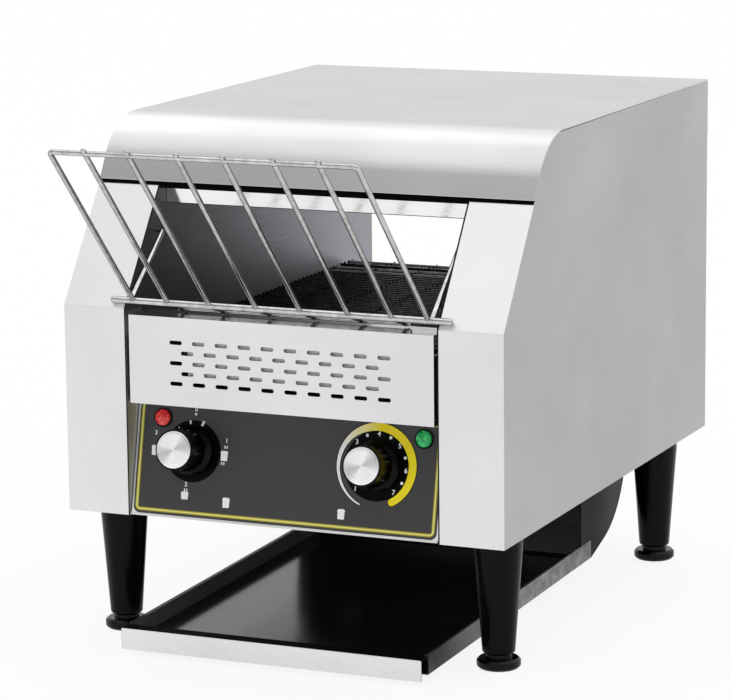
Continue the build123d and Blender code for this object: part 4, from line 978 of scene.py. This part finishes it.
def printed(name, outlines, material, level, body="casing", texts=()):
    """Thin layer of ink: outlines are (x, rise) loops, and a loop inside another is a hole.

    texts are (characters, size, x, rise, angle) with the place of their middle.
    """
    work = bmesh.new()

    def keep(curve, place):
        holder = bpy.data.objects.new("ink", curve)
        bpy.context.scene.collection.objects.link(holder)
        bpy.context.view_layer.update()
        graph = bpy.context.evaluated_depsgraph_get()
        flat = bpy.data.meshes.new_from_object(holder.evaluated_get(graph), depsgraph=graph)
        bpy.data.objects.remove(holder)
        flat.transform(place)
        work.from_mesh(flat)

    if outlines:
        curve = bpy.data.curves.new(name, "CURVE")
        curve.dimensions, curve.fill_mode, curve.extrude = "2D", "BOTH", INK / 2
        for loop in outlines:
            spline = curve.splines.new("POLY")
            spline.points.add(len(loop) - 1)
            for point, (x, rise) in zip(spline.points, loop):
                point.co = (x, rise, 0, 1)
            spline.use_cyclic_u = True
        keep(curve, Matrix.Identity(4))
    for characters, size, x, rise, angle in texts:
        text = bpy.data.curves.new(name, "FONT")
        text.body, text.size, text.extrude = characters, size, INK / 2
        text.align_x, text.align_y, text.offset = "CENTER", "CENTER", 0.06
        keep(text, Matrix.Translation((x, rise, 0)) @ Matrix.Rotation(-math.radians(angle), 4, "Z"))
    bmesh.ops.remove_doubles(work, verts=work.verts, dist=1e-4)
    lift = Matrix.Translation((0, 0, OVERLAY + level + INK / 2))
    return piece(name, mesh_from(work, name, panel_matrix() @ lift), body, material, smooth=False)


def slice_outline(x, rise, width=4.9, height=6.3):
    """Outline of a slice of bread: straight sides and a domed top."""
    w, h = width / 2, height / 2
    foot = [(x + w * 0.86, rise - h), (x - w * 0.86, rise - h)]
    left = ring_points((x - w * 0.5, rise + h * 0.55), w * 0.5, 8, 240, 120)
    right = ring_points((x + w * 0.5, rise + h * 0.55), w * 0.5, 8, 0, 120)
    return foot + left + right


def dash(centre, angle, inner, outer, half):
    """Outline of an index mark on a dial, half degrees wide to each side."""
    corners = ((inner, -half), (inner, half), (outer, half), (outer, -half))
    return [dial(centre, radius, angle + side) for radius, side in corners]


def panel_prints():
    """Printing on the dark film: border line, dial grounds, the browning scale's numbers and dots, the other
    numbers, marks and slices.
    """
    for name, ink, inset, width, level in (("panel_border", ink_gold, 0.0, 2.2, 0.0),
                                           ("panel_border_line", ink_pale, 0.65, 0.9, 0.05)):
        outer = rounded(BORDER_MIDDLE, *(size - inset for size in BORDER))
        inner = rounded(BORDER_MIDDLE, *(size - inset - width for size in BORDER))
        printed(name, [outer, inner], ink, level)
    heat_ground = ring_points((HEAT_KNOB[0] + 1.5, HEAT_KNOB[1] - 0.6), HEAT_GROUND)
    printed("dial_grounds", [heat_ground, ring_points(SPEED_KNOB, SPEED_GROUND)], ink_black, 0.0)
    marks = [dash(HEAT_KNOB, -4.0, 15.7, 18.0, 1.9), dash(HEAT_KNOB, 23.7, 16.6, 19.8, 2.4)]
    for half_step in range(5, 12, 2):
        angle = SCALE_MIDDLE + SCALE_STEP * (half_step / 2 - 3)
        marks.append(ring_points(dial(SPEED_KNOB, SCALE_NUMBERS, angle), 0.95, 16))
    marks.append(OFF_ARROW)
    marks += [slice_outline(x, rise) for x, rise in SLICES]
    marks.append(slice_outline(*LOW_SLICE))
    for x, rise in TWO_STROKES:
        marks += [rounded((x + side, rise), 0.35, 0.9, 0.2, 2) for side in (-0.75, 0.75)]
    numbers = []
    for k in range(1, 8):
        place = dial(SPEED_KNOB, SCALE_NUMBERS, SCALE_MIDDLE + SCALE_STEP * (k - 4))
        numbers.append((str(k), 4.2, *place, 0))
    numbers += [(*number, 0) for number in HEAT_NUMBERS]
    printed("panel_marks", marks, ink_white, 0.05, texts=numbers)


def browning_scale():
    """Tapered arc round the speed knob, thin and white at its start, broad and yellow at its end."""
    for name, ink, grow, level in (("scale_edge", ink_black, 0.5, 0.02), ("scale_arc", ink_scale, 0.0, 0.08)):
        work = bmesh.new()
        fade = work.verts.layers.float.new("along")
        rows = []
        for i in range(SCALE_PARTS + 1):
            t = i / SCALE_PARTS
            before = max((w for w in SCALE_WIDTHS if w[0] <= t), key=lambda w: w[0])
            after = min((w for w in SCALE_WIDTHS if w[0] >= t), key=lambda w: w[0])
            share = 0 if after[0] == before[0] else (t - before[0]) / (after[0] - before[0])
            width = before[1] + share * (after[1] - before[1])
            angle = SCALE_START + t * (SCALE_END - SCALE_START)
            outer, inner = SCALE_OUTER + grow, SCALE_OUTER - width - grow
            section = ((outer, 0), (outer, INK), (inner, INK), (inner, 0))
            places = [(*dial(SPEED_KNOB, radius, angle), height) for radius, height in section]
            rows.append([work.verts.new(place) for place in places])
            for vert in rows[-1]:
                vert[fade] = t
        for one, two in zip(rows, rows[1:]):
            for k in range(4):
                work.faces.new((one[k], one[(k + 1) % 4], two[(k + 1) % 4], two[k]))
        work.faces.new(rows[0])
        work.faces.new(list(reversed(rows[-1])))
        round_end = SCALE_WIDTHS[-1][1] / 2 + grow
        end = dial(SPEED_KNOB, SCALE_OUTER - SCALE_WIDTHS[-1][1] / 2, SCALE_END)
        around = ring_points(end, round_end, 32)
        low, high = [[work.verts.new((*p, h)) for p in around] for h in (-0.002, INK + 0.002)]
        for vert in low + high:
            vert[fade] = 1.0
        work.faces.new(low)
        work.faces.new(high)
        for k in range(32):
            work.faces.new((low[k], low[(k + 1) % 32], high[(k + 1) % 32], high[k]))
        lift = Matrix.Translation((0, 0, OVERLAY + level))
        piece(name, mesh_from(work, name, panel_matrix() @ lift), "casing", ink, smooth=False)


def knob_details():
    """Turned cap and white pointer of each knob."""
    for name, body, centre, angle in (("heat", "heat_selector", HEAT_KNOB, -28.0),
                                      ("speed", "speed_selector", SPEED_KNOB, -116.0)):
        work = bmesh.new()
        polar = work.loops.layers.uv.new("polar")
        turned(work, [(radius, CAP_BASE + height) for radius, height in CAP_OUTLINE], 72, polar)
        place = panel_matrix() @ Matrix.Translation((*centre, 0))
        cap = piece(name + "_turned_cap", mesh_from(work, name + "_turned_cap", place), body, aluminium)
        modifier(cap, "WEIGHTED_NORMAL", keep_sharp=True, weight=60)
        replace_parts(cap, name + "_knob_cap")
        mark = bmesh.new()
        sine, cosine = math.sin(math.radians(angle)), math.cos(math.radians(angle))
        corners = [(r * sine + s * cosine, r * cosine - s * sine, h) for r, s, h in POINTER]
        rows = [[mark.verts.new((x, y, h + up)) for x, y, h in corners] for up in (0.0, POINTER_THICK)]
        mark.faces.new(rows[0])
        mark.faces.new(list(reversed(rows[1])))
        for k in range(4):
            mark.faces.new((rows[0][k], rows[0][(k + 1) % 4], rows[1][(k + 1) % 4], rows[1][k]))
        pointer = mesh_from(mark, name + "_pointer", place)
        piece(name + "_pointer", pointer, body, ink_white, smooth=False)


def lamp_lenses():
    """Faceted domes of the two indicator lamps."""
    for name, centre, tint in (("power", POWER_LAMP, lens_red), ("heating", HEAT_LAMP, lens_green)):
        work = bmesh.new()
        turned(work, [(radius, LENS_BASE + height) for radius, height in LENS_OUTLINE], 20)
        place = panel_matrix() @ Matrix.Translation((*centre, 0))
        lens = piece(name + "_lens", mesh_from(work, name + "_lens", place), "casing", tint, smooth=False)
        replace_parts(lens, name + "_lamp_lens")


panel_prints()
browning_scale()
knob_details()
lamp_lenses()


# ---------------------------------------------------------------- floor, light and camera
# Brightness of the sky as (height of the direction, level), on the camera's side and behind.
FRONT_SKY = ((0.0, 0.95), (0.19, 0.96), (0.36, 0.6), (0.46, 0.4), (0.66, 0.44),
             (0.72, 0.72), (0.78, 1.0), (0.84, 1.27), (0.9, 1.5), (1.0, 1.5))
BACK_SKY = ((0.0, 0.92), (0.19, 0.94), (0.35, 1.15), (0.5, 1.4), (0.7, 1.62), (0.86, 1.58), (1.0, 1.42))

CAMERA_TURN = tuple(math.radians(angle) for angle in (23.8012, 10.8305, -0.6158))  # yaw, pitch and roll
CAMERA_PLACE = (866.32, -1835.33, 581.01)
SENSOR_WIDTH = 36.0
IMAGE_WIDTH = 730             # pixels, as all the lengths below
FOCAL_LENGTH = 3474.02
IMAGE_MIDDLE = (365.0, 350.0)
LENS_MIDDLE = (365.77, 347.34)


def stage():
    """Pale floor: plain white to the camera and in glass, with a trace of the toaster's shadow."""
    bpy.ops.mesh.primitive_plane_add(size=30, location=(0, 4, 0))
    floor = bpy.context.object
    floor.name = "studio_floor"
    material, tree, main = shader("pale studio floor", "#f6f6f6", 0.9)
    rays = add(tree, "ShaderNodeLightPath").outputs
    seen = {0: rays["Is Camera Ray"], 1: rays["Is Transmission Ray"]}
    plain_view = add(tree, "ShaderNodeMath", seen, operation="MAXIMUM").outputs[0]
    gloss = add(tree, "ShaderNodeMath", {0: rays["Is Glossy Ray"], 1: 0.5}, operation="MULTIPLY").outputs[0]
    shares = {0: plain_view, 1: 0.88, 2: gloss}
    share = add(tree, "ShaderNodeMath", shares, operation="MULTIPLY_ADD").outputs[0]
    glow = add(tree, "ShaderNodeEmission", {"Color": (1, 1, 1, 1), "Strength": 1.0})
    mix = add(tree, "ShaderNodeMixShader", {0: share, 1: main.outputs[0], 2: glow.outputs[0]})
    tree.links.new(mix.outputs[0], tree.nodes["Material Output"].inputs["Surface"])
    floor.data.materials.append(material)


def ramp(tree, value, stops):
    """Grey level by a value, from (place, level) stops."""
    made = add(tree, "ShaderNodeValToRGB", {"Fac": value})
    while len(made.color_ramp.elements) < len(stops):
        made.color_ramp.elements.new(0.5)
    for element, (place, level) in zip(made.color_ramp.elements, stops):
        element.position = place
        element.color = (level, level, level, 1)
    return made.outputs["Color"]


def sky():
    """Studio sky: soft white, dimmer half way up in front, brighter overhead and behind."""
    world = bpy.data.worlds.new("studio")
    bpy.context.scene.world = world
    world.use_nodes = True
    tree = world.node_tree
    tree.nodes.clear()
    way = add(tree, "ShaderNodeTexCoord").outputs["Generated"]
    parts = add(tree, "ShaderNodeSeparateXYZ", {"Vector": way}).outputs
    front = ramp(tree, parts["Z"], FRONT_SKY)
    back = ramp(tree, parts["Z"], BACK_SKY)
    behind = spread(tree, parts["Y"], 0.0, 1.0, -0.1, 0.15)
    mixed = add(tree, "ShaderNodeMix", data_type="RGBA")
    for socket, source in (("Factor", behind), ("A", front), ("B", back)):
        tree.links.new(source, mixed.inputs[socket])
    light = add(tree, "ShaderNodeBackground", {"Color": mixed.outputs["Result"], "Strength": 0.9})
    white = add(tree, "ShaderNodeBackground", {"Color": (1, 1, 1, 1), "Strength": 1.0})
    rays = add(tree, "ShaderNodeLightPath").outputs
    sources = {0: rays["Is Camera Ray"], 1: light.outputs[0], 2: white.outputs[0]}
    mix = add(tree, "ShaderNodeMixShader", sources)
    out = add(tree, "ShaderNodeOutputWorld")
    tree.links.new(mix.outputs[0], out.inputs["Surface"])


def softbox(name, place, target, size, power):
    """Square soft light aimed at a point."""
    data = bpy.data.lights.new(name, "AREA")
    data.size = size
    data.energy = power
    lamp = bpy.data.objects.new(name, data)
    lamp.location = place
    lamp.rotation_euler = (Vector(place) - Vector(target)).to_track_quat("Z", "Y").to_euler()
    bpy.context.scene.collection.objects.link(lamp)


def camera():
    """Camera that stands to the right and in front, a little above the toaster."""
    yaw, pitch, roll = CAMERA_TURN
    back = Vector((math.sin(yaw) * math.cos(pitch), -math.cos(yaw) * math.cos(pitch), math.sin(pitch)))
    right = Vector((math.cos(yaw), math.sin(yaw), 0))
    up = back.cross(right)
    across = right * math.cos(roll) + up * math.sin(roll)
    upright = up * math.cos(roll) - right * math.sin(roll)
    data = bpy.data.cameras.new("camera")
    data.sensor_width = SENSOR_WIDTH
    data.lens = SENSOR_WIDTH * FOCAL_LENGTH / IMAGE_WIDTH
    data.shift_x = (IMAGE_MIDDLE[0] - LENS_MIDDLE[0]) / IMAGE_WIDTH
    data.shift_y = (LENS_MIDDLE[1] - IMAGE_MIDDLE[1]) / IMAGE_WIDTH
    data.clip_start, data.clip_end = 0.1, 60
    view = bpy.data.objects.new("camera", data)
    view.matrix_world = Matrix.Translation(at(*CAMERA_PLACE)) @ Matrix(
        (across, upright, back)).transposed().to_4x4()
    bpy.context.scene.collection.objects.link(view)
    bpy.context.scene.camera = view


stage()
sky()
softbox("rear_left_softbox", place=(-1.4, 1.1, 2.4), target=(0, 0, 0.2), size=1.5, power=1.5)
camera()
bpy.context.scene.view_settings.view_transform = "Standard"
